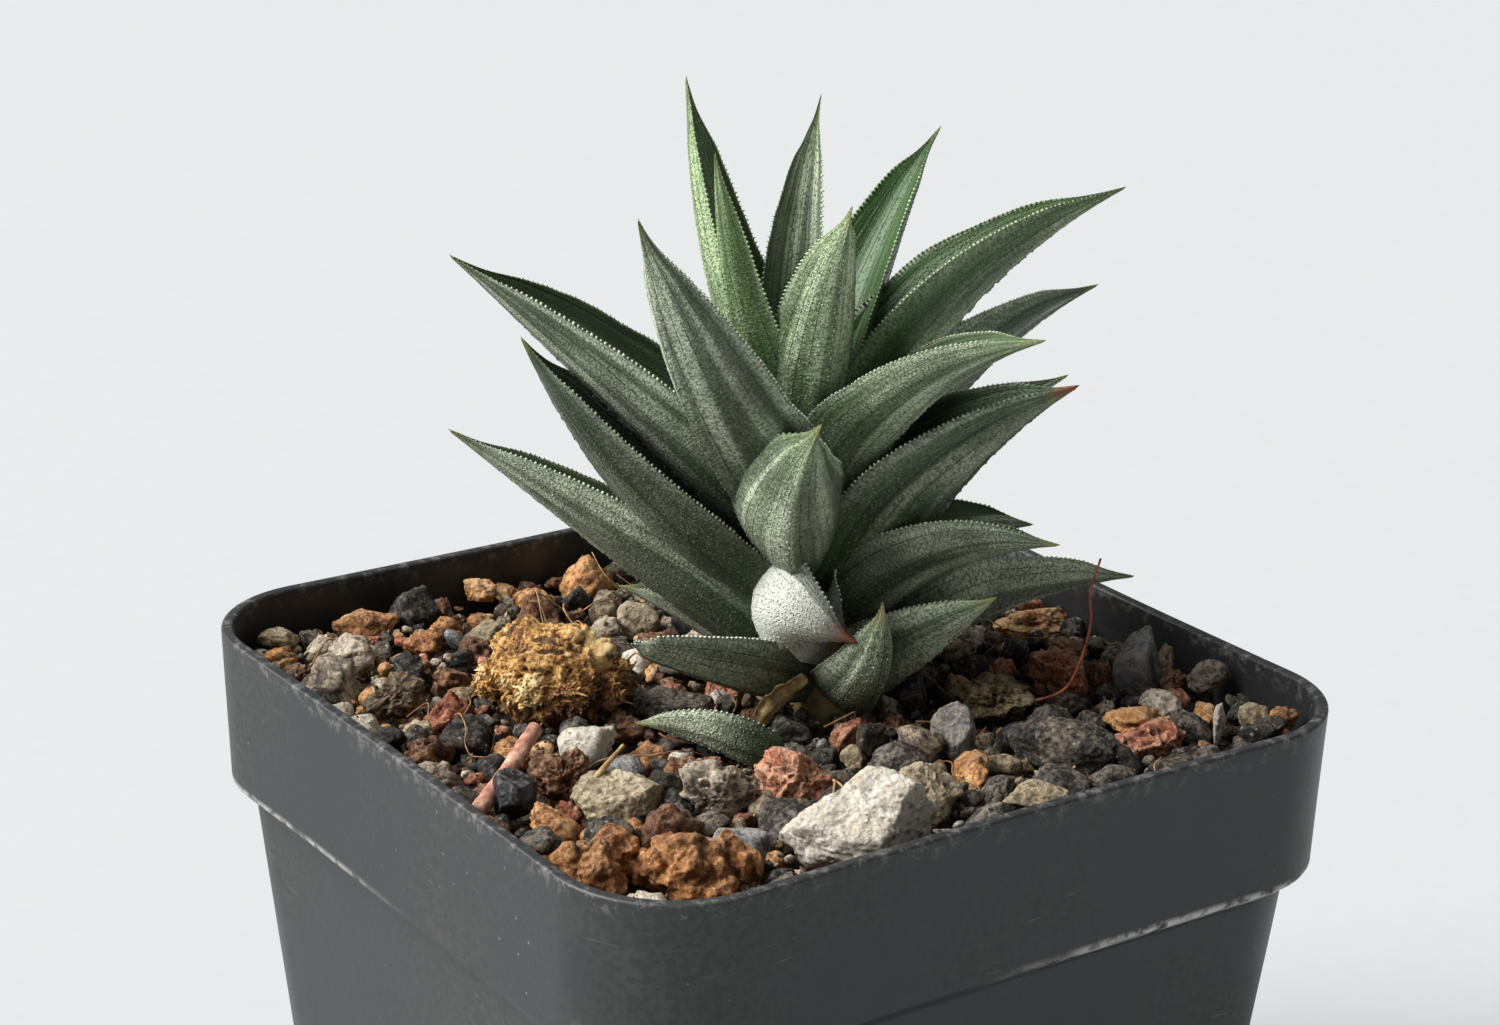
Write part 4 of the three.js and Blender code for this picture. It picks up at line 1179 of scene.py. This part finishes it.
# How each kind of stone looks: its material and slot, its tones from dark to light and its specks' in
# screen steps, how fine and how deep its grain is, how dull its skin is, how much dust and earth lie on it, and
# how large its specks are.
Look = namedtuple("Look", "material slot dark middle light speck grain depth roughness dust earthy pock",
                  defaults=[900.0, 0.12, 0.9, 0.2, 0.5, 0.27])
LOOKS = {
    "basalt": Look("dark_basalt", "dark_basalt", (12, 12, 12), (34, 32, 31), (104, 98, 90),
                   (158, 150, 138), dust=0.1, earthy=0.28),
    "slate": Look("grey_slate", "dark_basalt", (56, 57, 59), (96, 98, 101), (142, 144, 146),
                  (60, 61, 63), grain=1200.0, depth=0.05, roughness=0.7, dust=0.3),
    "glassy": Look("glassy_basalt", "dark_basalt", (10, 10, 11), (28, 29, 32), (90, 94, 100),
                   (130, 132, 134), grain=800.0, depth=0.1, roughness=0.3, dust=0.1),
    "rough_basalt": Look("rough_basalt", "dark_basalt", (106, 94, 80), (182, 166, 146), (228, 216, 196),
                         (44, 38, 34), grain=800.0, depth=0.25),
    "lava": Look("red_lava", "red_lava", (128, 64, 46), (194, 116, 86), (234, 180, 146),
                 (70, 36, 26), grain=850.0, depth=0.3),
    "brown_lava": Look("brown_lava", "red_lava", (80, 50, 36), (134, 90, 64), (184, 142, 104),
                       (52, 32, 26), grain=850.0, depth=0.3),
    "clay": Look("baked_clay", "baked_clay", (148, 94, 52), (214, 154, 96), (238, 198, 148),
                 (104, 62, 36), grain=1000.0, depth=0.2),
    "tan": Look("tan_stone", "tan_stone", (96, 82, 62), (150, 134, 106), (196, 182, 154),
                (66, 54, 42), depth=0.18),
    "pumice": Look("white_pumice", "pumice", (200, 186, 162), (222, 213, 195), (238, 232, 220),
                   (96, 60, 40), depth=0.24, roughness=0.95, dust=0.1, earthy=0.08, pock=0.46),
    "bark": Look("dark_bark", "bark", (38, 30, 23), (74, 60, 46), (124, 106, 82),
                 (28, 22, 18), grain=700.0, depth=0.3),
    "moss": Look("dry_moss", "bark", (92, 78, 54), (156, 136, 98), (208, 188, 148),
                 (32, 28, 18), depth=0.4),
}
PAINTS = {}


def stone_paint(look):
    """Broken stone: cloudy tones, painted shade in its creases and pits, specks, earth in patches, and dust on
    what faces up.
    """
    paint = Paint(look.material)
    tones = (look.dark, look.middle, look.light, look.speck)
    dark, middle, light, speck = (tone(*steps) for steps in tones)
    fine = paint.noise(look.grain * 2.2, 5.0, 0.72)
    own_tone = paint.times(paint.calc("SUBTRACT", paint.attribute("tint"), 0.5), 0.24)
    grains = paint.times(paint.calc("SUBTRACT", fine, 0.5), 0.9)
    value = paint.plus(paint.noise(420.0, 6.0, 0.66), own_tone, grains)
    color = paint.ramp(value, (0.32, dark), (0.5, middle), (0.7, light))
    dots = paint.fade(paint.cells(look.grain * 1.3), look.pock * 0.3, look.pock, 0.8, 0.0)
    color = paint.mix(paint.times(dots, paint.fade(fine, 0.4, 0.6)), color, speck)
    earth = paint.times(paint.fade(paint.noise(170.0, 4.0), 0.48, 0.64, 0.0, look.earthy),
                        paint.fade(fine, 0.35, 0.6))
    color = paint.mix(earth, color, tone(134, 112, 84))
    facing = paint.parts(paint.add("ShaderNodeNewGeometry").outputs["Normal"])[2]
    settled = paint.times(paint.fade(facing, 0.1, 0.95, 0.0, look.dust), paint.fade(fine, 0.35, 0.65))
    color = paint.mix(settled, color, tone(196, 184, 162))
    # Painted shade: creases and pits are darkened with a deeper copy of the dark tone, where shade would fall.
    deep = tuple(0.35 * part for part in dark)
    color = paint.mix(paint.fade(paint.attribute("hollow"), 0.45, 1.0, 0.0, 0.75), color, deep)
    normal = paint.bump(paint.cells(look.grain * 1.8), look.depth * 1.1, paint.bump(fine, look.depth * 2.8))
    return paint.finish(color, look.roughness, normal, Specular_IOR_Level=0.35)


def stone_paints():
    """A material for each kind of stone, made once."""
    if not PAINTS:
        PAINTS.update({kind: stone_paint(look) for kind, look in LOOKS.items()})
    return PAINTS


STONE_SEED = 300
CLUSTER_SEED = 77
CLUSTER_GRAINS = 52
CLUSTER_FUSING = 0.17


class HAWORTHIA_OT_loose_stones(bpy.types.Operator):
    """Builds the larger single stones that lie in the top of the mix"""

    bl_idname = "haworthia.loose_stones"
    bl_label = "Loose Stones"

    def execute(self, context):
        """Builds each stone."""
        paints = stone_paints()
        for seed, stone in enumerate([*LOOSE, PUMICE], STONE_SEED):
            rng = np.random.default_rng(seed)
            points, faces, hollow = stone_points(rng, stone.kind, stone.size, 6)
            points = spun(points, stone.turn) + np.array(stone.at)
            tint = np.full(len(points), rng.uniform(0.6, 1.0))
            attributes = {"tint": tint, "hollow": hollow}
            piece = make_piece(stone.name + "_stone", points, faces.tolist(), attributes)
            seat(piece, paints[stone.kind], LOOKS[stone.kind].slot, stone.name)
        self.build_cluster(paints["clay"])
        return {"FINISHED"}

    def build_cluster(self, material):
        """Fuses round grains into the cluster of baked clay."""
        rng = np.random.default_rng(CLUSTER_SEED)
        length, depth, height = CLUSTER.size
        parts = []
        for _ in range(CLUSTER_GRAINS):
            along, aside, up = rng.uniform(-1, 1, 3)
            middle = np.array([along * (length / 2 - 1.6), aside * (depth / 2 - 1.5) * (1 - 0.4 * along**2),
                               up * (height / 2 - 1.4) * (1 - 0.5 * along**2)])
            points, faces, _ = stone_points(rng, "clay", rng.uniform(2.2, 3.6, 3), 3)
            parts.append((points + middle, faces))
        points, faces = joined(parts)
        points = spun(points, CLUSTER.turn) + np.array(CLUSTER.at)
        piece = make_piece("clay_cluster_grains", points, faces)
        fused = piece.modifiers.new("fused", "REMESH")
        fused.mode = "VOXEL"
        fused.voxel_size = CLUSTER_FUSING * MM
        settle(piece)
        points = np.array([v.co[:] for v in piece.data.vertices]) / MM
        normals = np.array([v.normal[:] for v in piece.data.vertices])
        creases = creased_noise(points * 0.9, 4, 4)
        points = points + normals * CLUSTER_FUSING * creases[:, None]
        piece.data.vertices.foreach_set("co", (points * MM).ravel())
        # How deep a point lies in a crease between grains, for the painted shade.
        hollow = step_up(-creases, 0.0, 1.1).astype(np.float32)
        piece.data.attributes.new("hollow", "FLOAT", "POINT").data.foreach_set("value", hollow)
        piece.data.shade_smooth()
        seat(piece, material, "baked_clay", CLUSTER.name)


# ---- The mix ----

# Strewn stones, from the largest to the smallest: how many are tried, their full size, how fine their mesh
# is, how close they lie and how far they stand out.
Throw = namedtuple("Throw", "tries smallest largest divisions spacing lift")
THROWS = [
    Throw(800, 4.2, 6.6, 4, 0.82, 0.15),
    Throw(2600, 2.9, 4.4, 4, 0.76, 0.15),
    Throw(5200, 1.8, 2.9, 3, 0.72, 0.0),
    Throw(7600, 1.1, 1.8, 2, 0.74, -0.1),
]
STREWN_KINDS = ["basalt", "slate", "rough_basalt", "lava", "brown_lava", "clay", "tan", "pumice"]
FRONT_SHARES = np.array([0.54, 0.05, 0.07, 0.1, 0.08, 0.05, 0.09, 0.02])
BACK_LEFT_SHARES = np.array([0.24, 0.03, 0.11, 0.07, 0.18, 0.17, 0.18, 0.02])

# Smaller stones that lie in plain sight, each laid where it is: the kind, the middle and the full size.
Laid = namedtuple("Laid", "kind at size")
LAID = [
    Laid("rough_basalt", (4.6, -16.8, 67), (4.2, 3.6, 3.4)),
    Laid("basalt", (1.8, -13.9, 67), (3, 3, 4.2)),
    Laid("clay", (23.9, -21.4, 66.6), (5.2, 3.6, 2.8)),
    Laid("tan", (32.6, -27.6, 66.6), (3.7, 3, 3.4)),
    Laid("tan", (6.4, -29.9, 67), (5.7, 3.6, 2.6)),
    Laid("tan", (-30.1, 33.2, 67), (3.9, 3, 2.6)),
    Laid("clay", (-22.1, 31.8, 67), (6.4, 4, 2.9)),
    Laid("clay", (-8.8, 34, 67), (3.8, 3, 2.6)),
    Laid("pumice", (29.2, -26.6, 67.0), (1.3, 1.2, 4.3)),
    Laid("basalt", (30.2, -31.2, 67.6), (4.4, 3, 2.8)),
    Laid("basalt", (33.8, -20.2, 67.8), (4, 3.2, 3.4)),
    Laid("clay", (33.4, -30.2, 67.9), (2.6, 2.2, 2.6)),
    Laid("tan", (33.6, -14.3, 67.2), (2.3, 2, 3.6)),
]


def room_inside(x, y, radius):
    """True where a stone of a radius lies inside the pot."""
    half = RIM_HALF - WALL - GAP - radius
    corner = CORNER_RADIUS - WALL
    over = np.maximum(np.abs([x, y]) - (half + radius - corner), 0)
    return max(abs(x), abs(y)) < half and np.hypot(*over) < corner - radius


NEAR_MIX = 6.0
STEM_SPACE = 4.6
TWIG_SPACE = 0.9


def low_leaf_points():
    """Points on the leaves that come near the mix."""
    found = []
    for seed, leaf in enumerate(ALL_LEAVES, LEAF_SEED):
        t, across = np.meshgrid(np.linspace(0, 0.98, 40), np.linspace(-1, 1, 13))
        points = LeafForm(leaf, seed).points(t.ravel(), across.ravel(), np.ones(t.size))
        found.append(points[points[:, 2] < MIX_LEVEL + NEAR_MIX])
    return np.vstack(found)


def taken_places():
    """Circles on the mix that single pieces already fill, as x, y and radius."""
    places = []
    for stone in [*LOOSE, PUMICE, CLUSTER, CLUMP]:
        length, depth, _ = stone.size
        count = 3 if length > 1.4 * depth else 1
        radius = depth / 2
        for k in range(count):
            along = (k - (count - 1) / 2) * (length - depth) / max(count - 1, 1)
            middle = np.array(stone.at) + compass(stone.turn) * along
            places.append((middle[0], middle[1], radius))
    places.append((STEM_FOOT[0], STEM_FOOT[1], STEM_SPACE))
    places += [(x, y, TWIG_SPACE) for x, y, _ in smooth_path(TWIG.through, 6)]
    return places


TILT = 0.8
UNEVEN_HEIGHTS = (-0.35, 0.5)
DEEPEST = 4.0
THREAD_COUNT = 46
THREAD_STEP = 1.3

Strewn = namedtuple("Strewn", "kind divisions points faces hollow tint")


def strew_stones(seed):
    """Throws stones on the mix one after another and keeps those that find room."""
    rng = np.random.default_rng(seed)
    leaf_points = low_leaf_points()
    places = np.array(taken_places())
    kept = []
    for stone in LAID:
        points, faces, hollow = stone_points(rng, stone.kind, stone.size, 4)
        tint = np.full(len(points), rng.uniform())
        kept.append(Strewn(stone.kind, 4, spun(points, VIEW_ACROSS) + stone.at, faces, hollow, tint))
        places = np.vstack([places, (stone.at[0], stone.at[1], stone.size[0] / 2)])
    for throw in THROWS:
        for _ in range(throw.tries):
            x, y = rng.uniform(-RIM_HALF, RIM_HALF, 2)
            full = rng.uniform(throw.smallest, throw.largest)
            radius = full / 2
            if not room_inside(x, y, radius * 0.8):
                continue
            gaps = np.hypot(places[:, 0] - x, places[:, 1] - y)
            if (gaps < throw.spacing * (places[:, 2] + radius)).any():
                continue
            size = full * np.array([1, rng.uniform(0.6, 0.95), rng.uniform(0.5, 0.9)])
            height = mix_surface(x, y) + throw.lift * radius + rng.uniform(*UNEVEN_HEIGHTS)
            near = np.hypot(leaf_points[:, 0] - x, leaf_points[:, 1] - y) < radius
            if near.any():
                height = min(height, leaf_points[near, 2].min() - size[2] / 2)
            if height < MIX_LEVEL - DEEPEST:
                continue
            back_left = np.clip((y - x) / 60 + 0.3, 0, 1)
            shares = FRONT_SHARES * (1 - back_left) + BACK_LEFT_SHARES * back_left
            kind = STREWN_KINDS[rng.choice(len(shares), p=shares / shares.sum())]
            points, faces, hollow = stone_points(rng, kind, size, throw.divisions)
            lean = Matrix.Rotation(rng.uniform(-TILT, TILT), 3, "X")
            tilt = lean @ Matrix.Rotation(rng.uniform(-TILT, TILT), 3, "Y")
            spin = Matrix.Rotation(rng.uniform(0, 2 * np.pi), 3, "Z")
            points = rotated(points, spin @ tilt) + [x, y, height]
            tint = np.full(len(points), rng.uniform())
            kept.append(Strewn(kind, throw.divisions, points, faces, hollow, tint))
            places = np.vstack([places, (x, y, radius)])
    return kept


def thread_meshes(strewn, seed):
    """Fine dry roots that lie over the stones: the points and faces of each."""
    rng = np.random.default_rng(seed)
    tops = np.vstack([stone.points for stone in strewn])
    tops = tops[tops[:, 2] > MIX_LEVEL - 2]
    threads = []
    while len(threads) < THREAD_COUNT:
        x, y = rng.uniform(-RIM_HALF, RIM_HALF, 2)
        if not room_inside(x, y, 3.0):
            continue
        heading = compass(rng.uniform(0, 360)) * THREAD_STEP
        knots = np.array([x, y, 0]) + np.cumsum(heading + rng.normal(0, 0.7, (6, 3)), 0)
        for knot in knots:
            gaps = np.hypot(tops[:, 0] - knot[0], tops[:, 1] - knot[1])
            knot[2] = np.append(tops[gaps < 0.9, 2], MIX_LEVEL - 1).max() + rng.uniform(-0.25, 0.25)
        if not all(room_inside(knot[0], knot[1], 0.8) for knot in knots):
            continue
        radii = np.linspace(rng.uniform(0.07, 0.14), 0.05, 31)
        threads.append(tube(smooth_path(knots, 30), radii, 6, 0.1, seed + len(threads)))
    return threads


BED_BELOW = 1.5
BED_ROUGHNESS = 0.8


def bed_mesh():
    """Points and faces of the mix below its top stones: a closed body with a rough top."""
    inset = WALL + GAP
    heights = [*np.linspace(FLOOR + GAP, LEDGE_FOOT - 0.6, 8), *np.linspace(LEDGE_TOP, MIX_LEVEL - 3, 4)]
    rings = [pot_ring(z, inset, SIDE_BOW) for z in heights]
    rim = pot_ring(MIX_LEVEL, inset, SIDE_BOW)
    for share in np.linspace(1, 0.02, 60):
        ring = rim * [share, share, 1]
        level = mix_surface(ring[:, 0], ring[:, 1]) - BED_BELOW
        ring[:, 2] = level + BED_ROUGHNESS * rough_noise(ring * [0.55, 0.55, 0], 8, 5)
        rings.append(ring)
    return skin(np.array(rings))


def bed_paint():
    """Dark crumbs and dust of all the stones together."""
    paint = Paint("mineral_crumbs")
    hue = paint.parts(paint.cells(1100.0, output=1))[0]
    color = paint.ramp(hue, (0.0, tone(34, 28, 24)), (0.45, tone(62, 52, 42)), (0.7, tone(100, 68, 46)),
                       (0.9, tone(132, 112, 86)))
    fine = paint.noise(2400.0, 5.0, 0.7)
    color = paint.mix(paint.fade(fine, 0.3, 0.6, 0.6, 0.0), color, tone(22, 18, 15))
    return paint.finish(color, 0.95, paint.bump(fine, 0.3, paint.bump(paint.cells(1100.0), 0.5)))


def grit_grower(settings):
    """The tree that strews small crumbs over whatever faces up."""
    grower = Grower("strewn_grit", {
        "Density": settings.grit_density, "Radius": settings.grit_radius, "Seed": 5, "Facing Up": 0.35})
    given = grower.given
    normal = grower.add("GeometryNodeInputNormal").outputs[0]
    upward = grower.add("ShaderNodeSeparateXYZ", {0: normal}).outputs[2]
    points = grower.strewn(grower.calc("GREATER_THAN", upward, given["Facing Up"]))["Points"]
    grain = grower.add("GeometryNodeMeshUVSphere", {"Segments": 5, "Rings": 2, "Radius": 1.0}).outputs[0]
    dented = grower.add("ShaderNodeTexNoise", {"Scale": 1.3}).outputs[1]
    offset = grower.vectors("SUBTRACT", dented, (0.5, 0.5, 0.5))
    crumb = grower.add("GeometryNodeSetPosition", {"Geometry": grain, "Offset": offset}).outputs[0]
    turn = grower.random((0.0, 0.0, 0.0), (6.28, 6.28, 6.28), 3)
    rotation = grower.add("FunctionNodeEulerToRotation", {0: turn}).outputs[0]
    shape = grower.random((0.35, 0.3, 0.25), (1.0, 0.8, 0.6), 4)
    size = grower.times(given["Radius"], grower.calc("POWER", grower.random(0.25, 1.0, 6), 2.2))
    crumbs = grower.copies(points, crumb, rotation, grower.vectors("SCALE", shape, size))
    grower.output(grower.marked(crumbs, "tint", grower.random(0.0, 1.0, 8), "INSTANCE"))
    return grower


def grit_paint():
    """Crumbs of every stone in the mix, each its own colour."""
    paint = Paint("mixed_grit")
    tint = paint.attribute("tint")
    color = paint.ramp(tint, (0.0, tone(40, 34, 30)), (0.35, tone(78, 68, 58)), (0.6, tone(120, 102, 80)),
                       (0.75, tone(128, 88, 62)), (0.87, tone(160, 132, 98)), (0.97, tone(192, 178, 152)))
    fine = paint.noise(2600.0, 4.0, 0.7)
    color = paint.mix(paint.fade(fine, 0.3, 0.7, 0.45, 0.0), color, tone(30, 25, 21))
    return paint.finish(color, 0.95, paint.bump(fine, 0.15))


class HAWORTHIA_OT_mix(bpy.types.Operator):
    """Builds the bed of mix, the stones strewn over it and the grit between them"""

    bl_idname = "haworthia.mix"
    bl_label = "Potting Mix"

    def execute(self, context):
        """Builds the mix."""
        settings = context.scene.haworthia_mix
        bed = make_piece("mix_bed", *bed_mesh())
        strewn = strew_stones(settings.seed)
        paints = stone_paints()
        for kind in STREWN_KINDS:
            alike = [stone for stone in strewn if stone.kind == kind]
            attributes = {"tint": np.concatenate([stone.tint for stone in alike]),
                          "hollow": np.concatenate([stone.hollow for stone in alike])}
            piece = make_piece("mix_" + kind, *joined([(s.points, s.faces) for s in alike]), attributes)
            seat(piece, paints[kind], "mineral_mix", "potting_mix")
        small = [(s.points, s.faces) for s in strewn if s.divisions < 4]
        large = [(s.points, s.faces) for s in strewn if s.divisions == 4]
        grit = grit_paint()
        grower = grit_grower(settings)
        grounds = (("mix_grit", [bed_mesh(), *small], settings.grit_radius),
                   ("mix_dust", large, settings.dust_radius))
        for name, ground, radius in grounds:
            piece = make_piece(name, *joined(ground))
            grower.grow(piece, grit, Radius=radius)
            seat(piece, grit, "mineral_mix", "potting_mix")
        seat(bed, bed_paint(), "mineral_mix", "potting_mix")
        threads = make_piece("mix_threads", *joined(thread_meshes(strewn, settings.seed + 5)))
        straw = twig_paint("root_threads", tone(84, 58, 38), tone(138, 100, 66), tone(190, 154, 108))
        seat(threads, straw, "mineral_mix", "potting_mix")
        return {"FINISHED"}


# ---- Dried matter ----

ROD_SEED = 60


def fibre_paint():
    """Crumbly straw-yellow plant fibre, dark in places, with painted shade in its pits and creases."""
    paint = Paint("dry_fibre")
    clouds = paint.noise(260.0, 5.0, 0.65, distortion=0.6)
    fine = paint.noise(2300.0, 6.0, 0.8, distortion=0.6)
    value = paint.calc("SUBTRACT", paint.plus(clouds, fine), 0.5)
    color = paint.ramp(value, (0.38, tone(74, 48, 30)), (0.46, tone(168, 118, 66)),
                       (0.54, tone(232, 180, 106)), (0.66, tone(252, 228, 172)))
    color = paint.mix(paint.fade(paint.noise(520.0, 4.0), 0.5, 0.64, 0.0, 0.4), color, tone(134, 88, 46))
    height = paint.parts(paint.place)[2]
    foot, top = [(CLUMP.at[2] + share * CLUMP.size[2]) * MM for share in (-0.36, 0.08)]
    color = paint.mix(paint.fade(height, foot, top, 0.66, 0.0), color, tone(110, 70, 38))
    # Painted shade: the clump's creases and the gaps under its flaps are darkened.
    color = paint.mix(paint.fade(paint.attribute("hollow"), 0.12, 0.6, 0.0, 0.85), color, tone(60, 38, 22))
    return paint.finish(color, 0.95, paint.bump(fine, 0.3))


def flake_grower():
    """The tree that stands torn flakes and threads out of a lump."""
    grower = Grower("torn_fibre", {"Density": 9.0e6, "Length": 0.8 * MM, "Seed": 2})
    strewn = grower.strewn()
    lean = grower.random((-0.9, -0.9, -0.9), (0.9, 0.9, 0.9), 3)
    turned = grower.pointed(grower.vectors("ADD", strewn["Normal"], lean))
    shape = grower.random((0.08, 0.06, 0.25), (0.45, 0.16, 0.9), 4)
    length = grower.times(grower.given["Length"], grower.attribute("frayed"))
    scale = grower.vectors("SCALE", shape, length)
    flakes = grower.copies(strewn["Points"], grower.cone(3, 0.3), turned, scale)
    grower.output(grower.given["Geometry"], flakes)
    return grower


def clump_mesh():
    """A crumbly dome with a ragged rim of torn flaps: its points, faces and attributes."""
    way, faces = BALLS[6]
    level = unit(way * [1, 1, 0.001])
    low = np.exp(-(((way[:, 2] + 0.15) / 0.45) ** 2))
    flaps = creased_noise(level * 3.4 + way * [0, 0, 2.4], 5, 3)
    crumbs = creased_noise(way * 6.4, 6, 5)
    peaks = step_up(noise(way * 2.4 + [3.1, 0.4, 1.7], 7), 0.15, 0.7) * step_up(way[:, 2], 0.0, 0.5)
    points = way * (1 + 0.5 * low * flaps + 0.075 * crumbs + 0.24 * peaks)[:, None]
    points = points / np.abs(points).max(0) * (np.array(CLUMP.size) / 2 - 0.35)
    points = spun(points, CLUMP.turn) + np.array(CLUMP.at)
    # How deep a point lies in a crease or under a flap, for the painted shade.
    hollow = step_up(-crumbs - 0.5 * low * flaps, 0.0, 1.1)
    frayed = 0.3 + 1.9 * np.exp(-(((way[:, 2] - 0.02) / 0.24) ** 2)) + 0.8 * step_up(-way[:, 2], 0.1, 0.4)
    return points, faces.tolist(), {"hollow": hollow, "frayed": frayed}


def scrap_mesh():
    """A scrap of dried leaf, pleated along its length and torn at both ends: its points and faces."""
    path = smooth_path(SCRAP.through, 40)
    share = np.linspace(0, 1, 41)
    along = unit(np.gradient(path, axis=0))
    side = unit(np.cross(along, [0.5, 0.75, 0.45]))
    up = np.cross(side, along)
    half = 1.75 * np.sin(np.pi * (0.12 + 0.83 * share)) ** 0.7 * (1 + 0.2 * noise(path * 1.9, 3))
    angles = 2 * np.pi * np.arange(44) / 44
    across = np.cos(angles)[None, :]
    pleats = 0.26 * np.cos(across * 8 + 2 * share[:, None]) * np.sin(np.pi * share)[:, None]
    curl = 0.7 * across**2 - 0.5 * across * share[:, None]
    lift = pleats + curl + 0.1 * np.sin(angles)
    spread = across * half[:, None]
    rings = path[:, None] + side[:, None] * spread[..., None] + up[:, None] * lift[..., None]
    return skin(rings + 0.22 * rough_noise(rings * 1.1, 6, 4)[..., None])


def twig_paint(name, dark, middle, light):
    """Dry bark or root, blotched from dark to light."""
    paint = Paint(name)
    color = paint.ramp(paint.noise(900.0, 5.0, 0.65), (0.3, dark), (0.5, middle), (0.7, light))
    return paint.finish(color, 0.85, paint.bump(paint.noise(1800.0, 5.0), 0.12))


class HAWORTHIA_OT_dried_matter(bpy.types.Operator):
    """Builds the fibre clump, the twigs, the standing rootlet and the curled scrap"""

    bl_idname = "haworthia.dried_matter"
    bl_label = "Dried Matter"

    def execute(self, context):
        """Builds each piece of dried matter."""
        fibre = fibre_paint()
        clump = make_piece("fibre_cushion", *clump_mesh())
        flake_grower().grow(clump, fibre)
        seat(clump, fibre, "dry_fibre", CLUMP.name)
        pink = twig_paint("pink_twig", tone(104, 62, 50), tone(172, 122, 102), tone(214, 176, 152))
        straw = twig_paint("straw_twig", tone(96, 76, 46), tone(158, 130, 84), tone(206, 184, 132))
        red = twig_paint("red_rootlet", tone(96, 48, 30), tone(150, 84, 54), tone(180, 116, 78))
        rods = ((TWIG, pink, 20), (THIN_TWIG, straw, 10), (ROOTLET, red, 10))
        for seed, (rod, paint, sides) in enumerate(rods, ROD_SEED):
            path = smooth_path(rod.through, 48)
            rod_mesh = tube(path, np.linspace(*rod.radii, 49), sides, 0.1, seed)
            piece = make_piece(rod.name + "_rod", *rod_mesh)
            seat(piece, paint, rod.slot, rod.name)
        scrap = make_piece("dry_scrap_flake", *scrap_mesh())
        seat(scrap, straw, SCRAP.slot, SCRAP.name)
        return {"FINISHED"}


# ---- Panel and registration ----

OPERATORS = (
    HAWORTHIA_OT_stage,
    HAWORTHIA_OT_pot,
    HAWORTHIA_OT_stem,
    HAWORTHIA_OT_leaves,
    HAWORTHIA_OT_loose_stones,
    HAWORTHIA_OT_mix,
    HAWORTHIA_OT_dried_matter,
)
SETTINGS = {
    "haworthia_stage": StageSettings,
    "haworthia_pot": PotSettings,
    "haworthia_leaf": LeafSettings,
    "haworthia_mix": MixSettings,
}


class HAWORTHIA_PT_pieces(bpy.types.Panel):
    """Lists the pieces of the potted haworthia"""

    bl_idname = "HAWORTHIA_PT_pieces"
    bl_label = "Potted Haworthia"
    bl_space_type = "VIEW_3D"
    bl_region_type = "UI"
    bl_category = "Haworthia"

    def draw(self, context):
        """Draws a button for each operator and the settings."""
        for operator in OPERATORS:
            self.layout.operator(operator.bl_idname)
        for label, group in SETTINGS.items():
            box = self.layout.box()
            for setting in group.__annotations__:
                box.prop(getattr(context.scene, label), setting)


def register():
    """Registers the settings, the operators and the panel."""
    for group in SETTINGS.values():
        bpy.utils.register_class(group)
    for label, group in SETTINGS.items():
        setattr(bpy.types.Scene, label, PointerProperty(type=group))
    for operator in OPERATORS:
        bpy.utils.register_class(operator)
    bpy.utils.register_class(HAWORTHIA_PT_pieces)


def unregister():
    """Takes everything out again."""
    bpy.utils.unregister_class(HAWORTHIA_PT_pieces)
    for operator in reversed(OPERATORS):
        bpy.utils.unregister_class(operator)
    for label, group in SETTINGS.items():
        delattr(bpy.types.Scene, label)
        bpy.utils.unregister_class(group)


def main():
    """Builds every piece in order."""
    register()
    for operator in OPERATORS:
        family, action = operator.bl_idname.split(".")
        getattr(getattr(bpy.ops, family), action)()


if __name__ == "__main__":
    main()
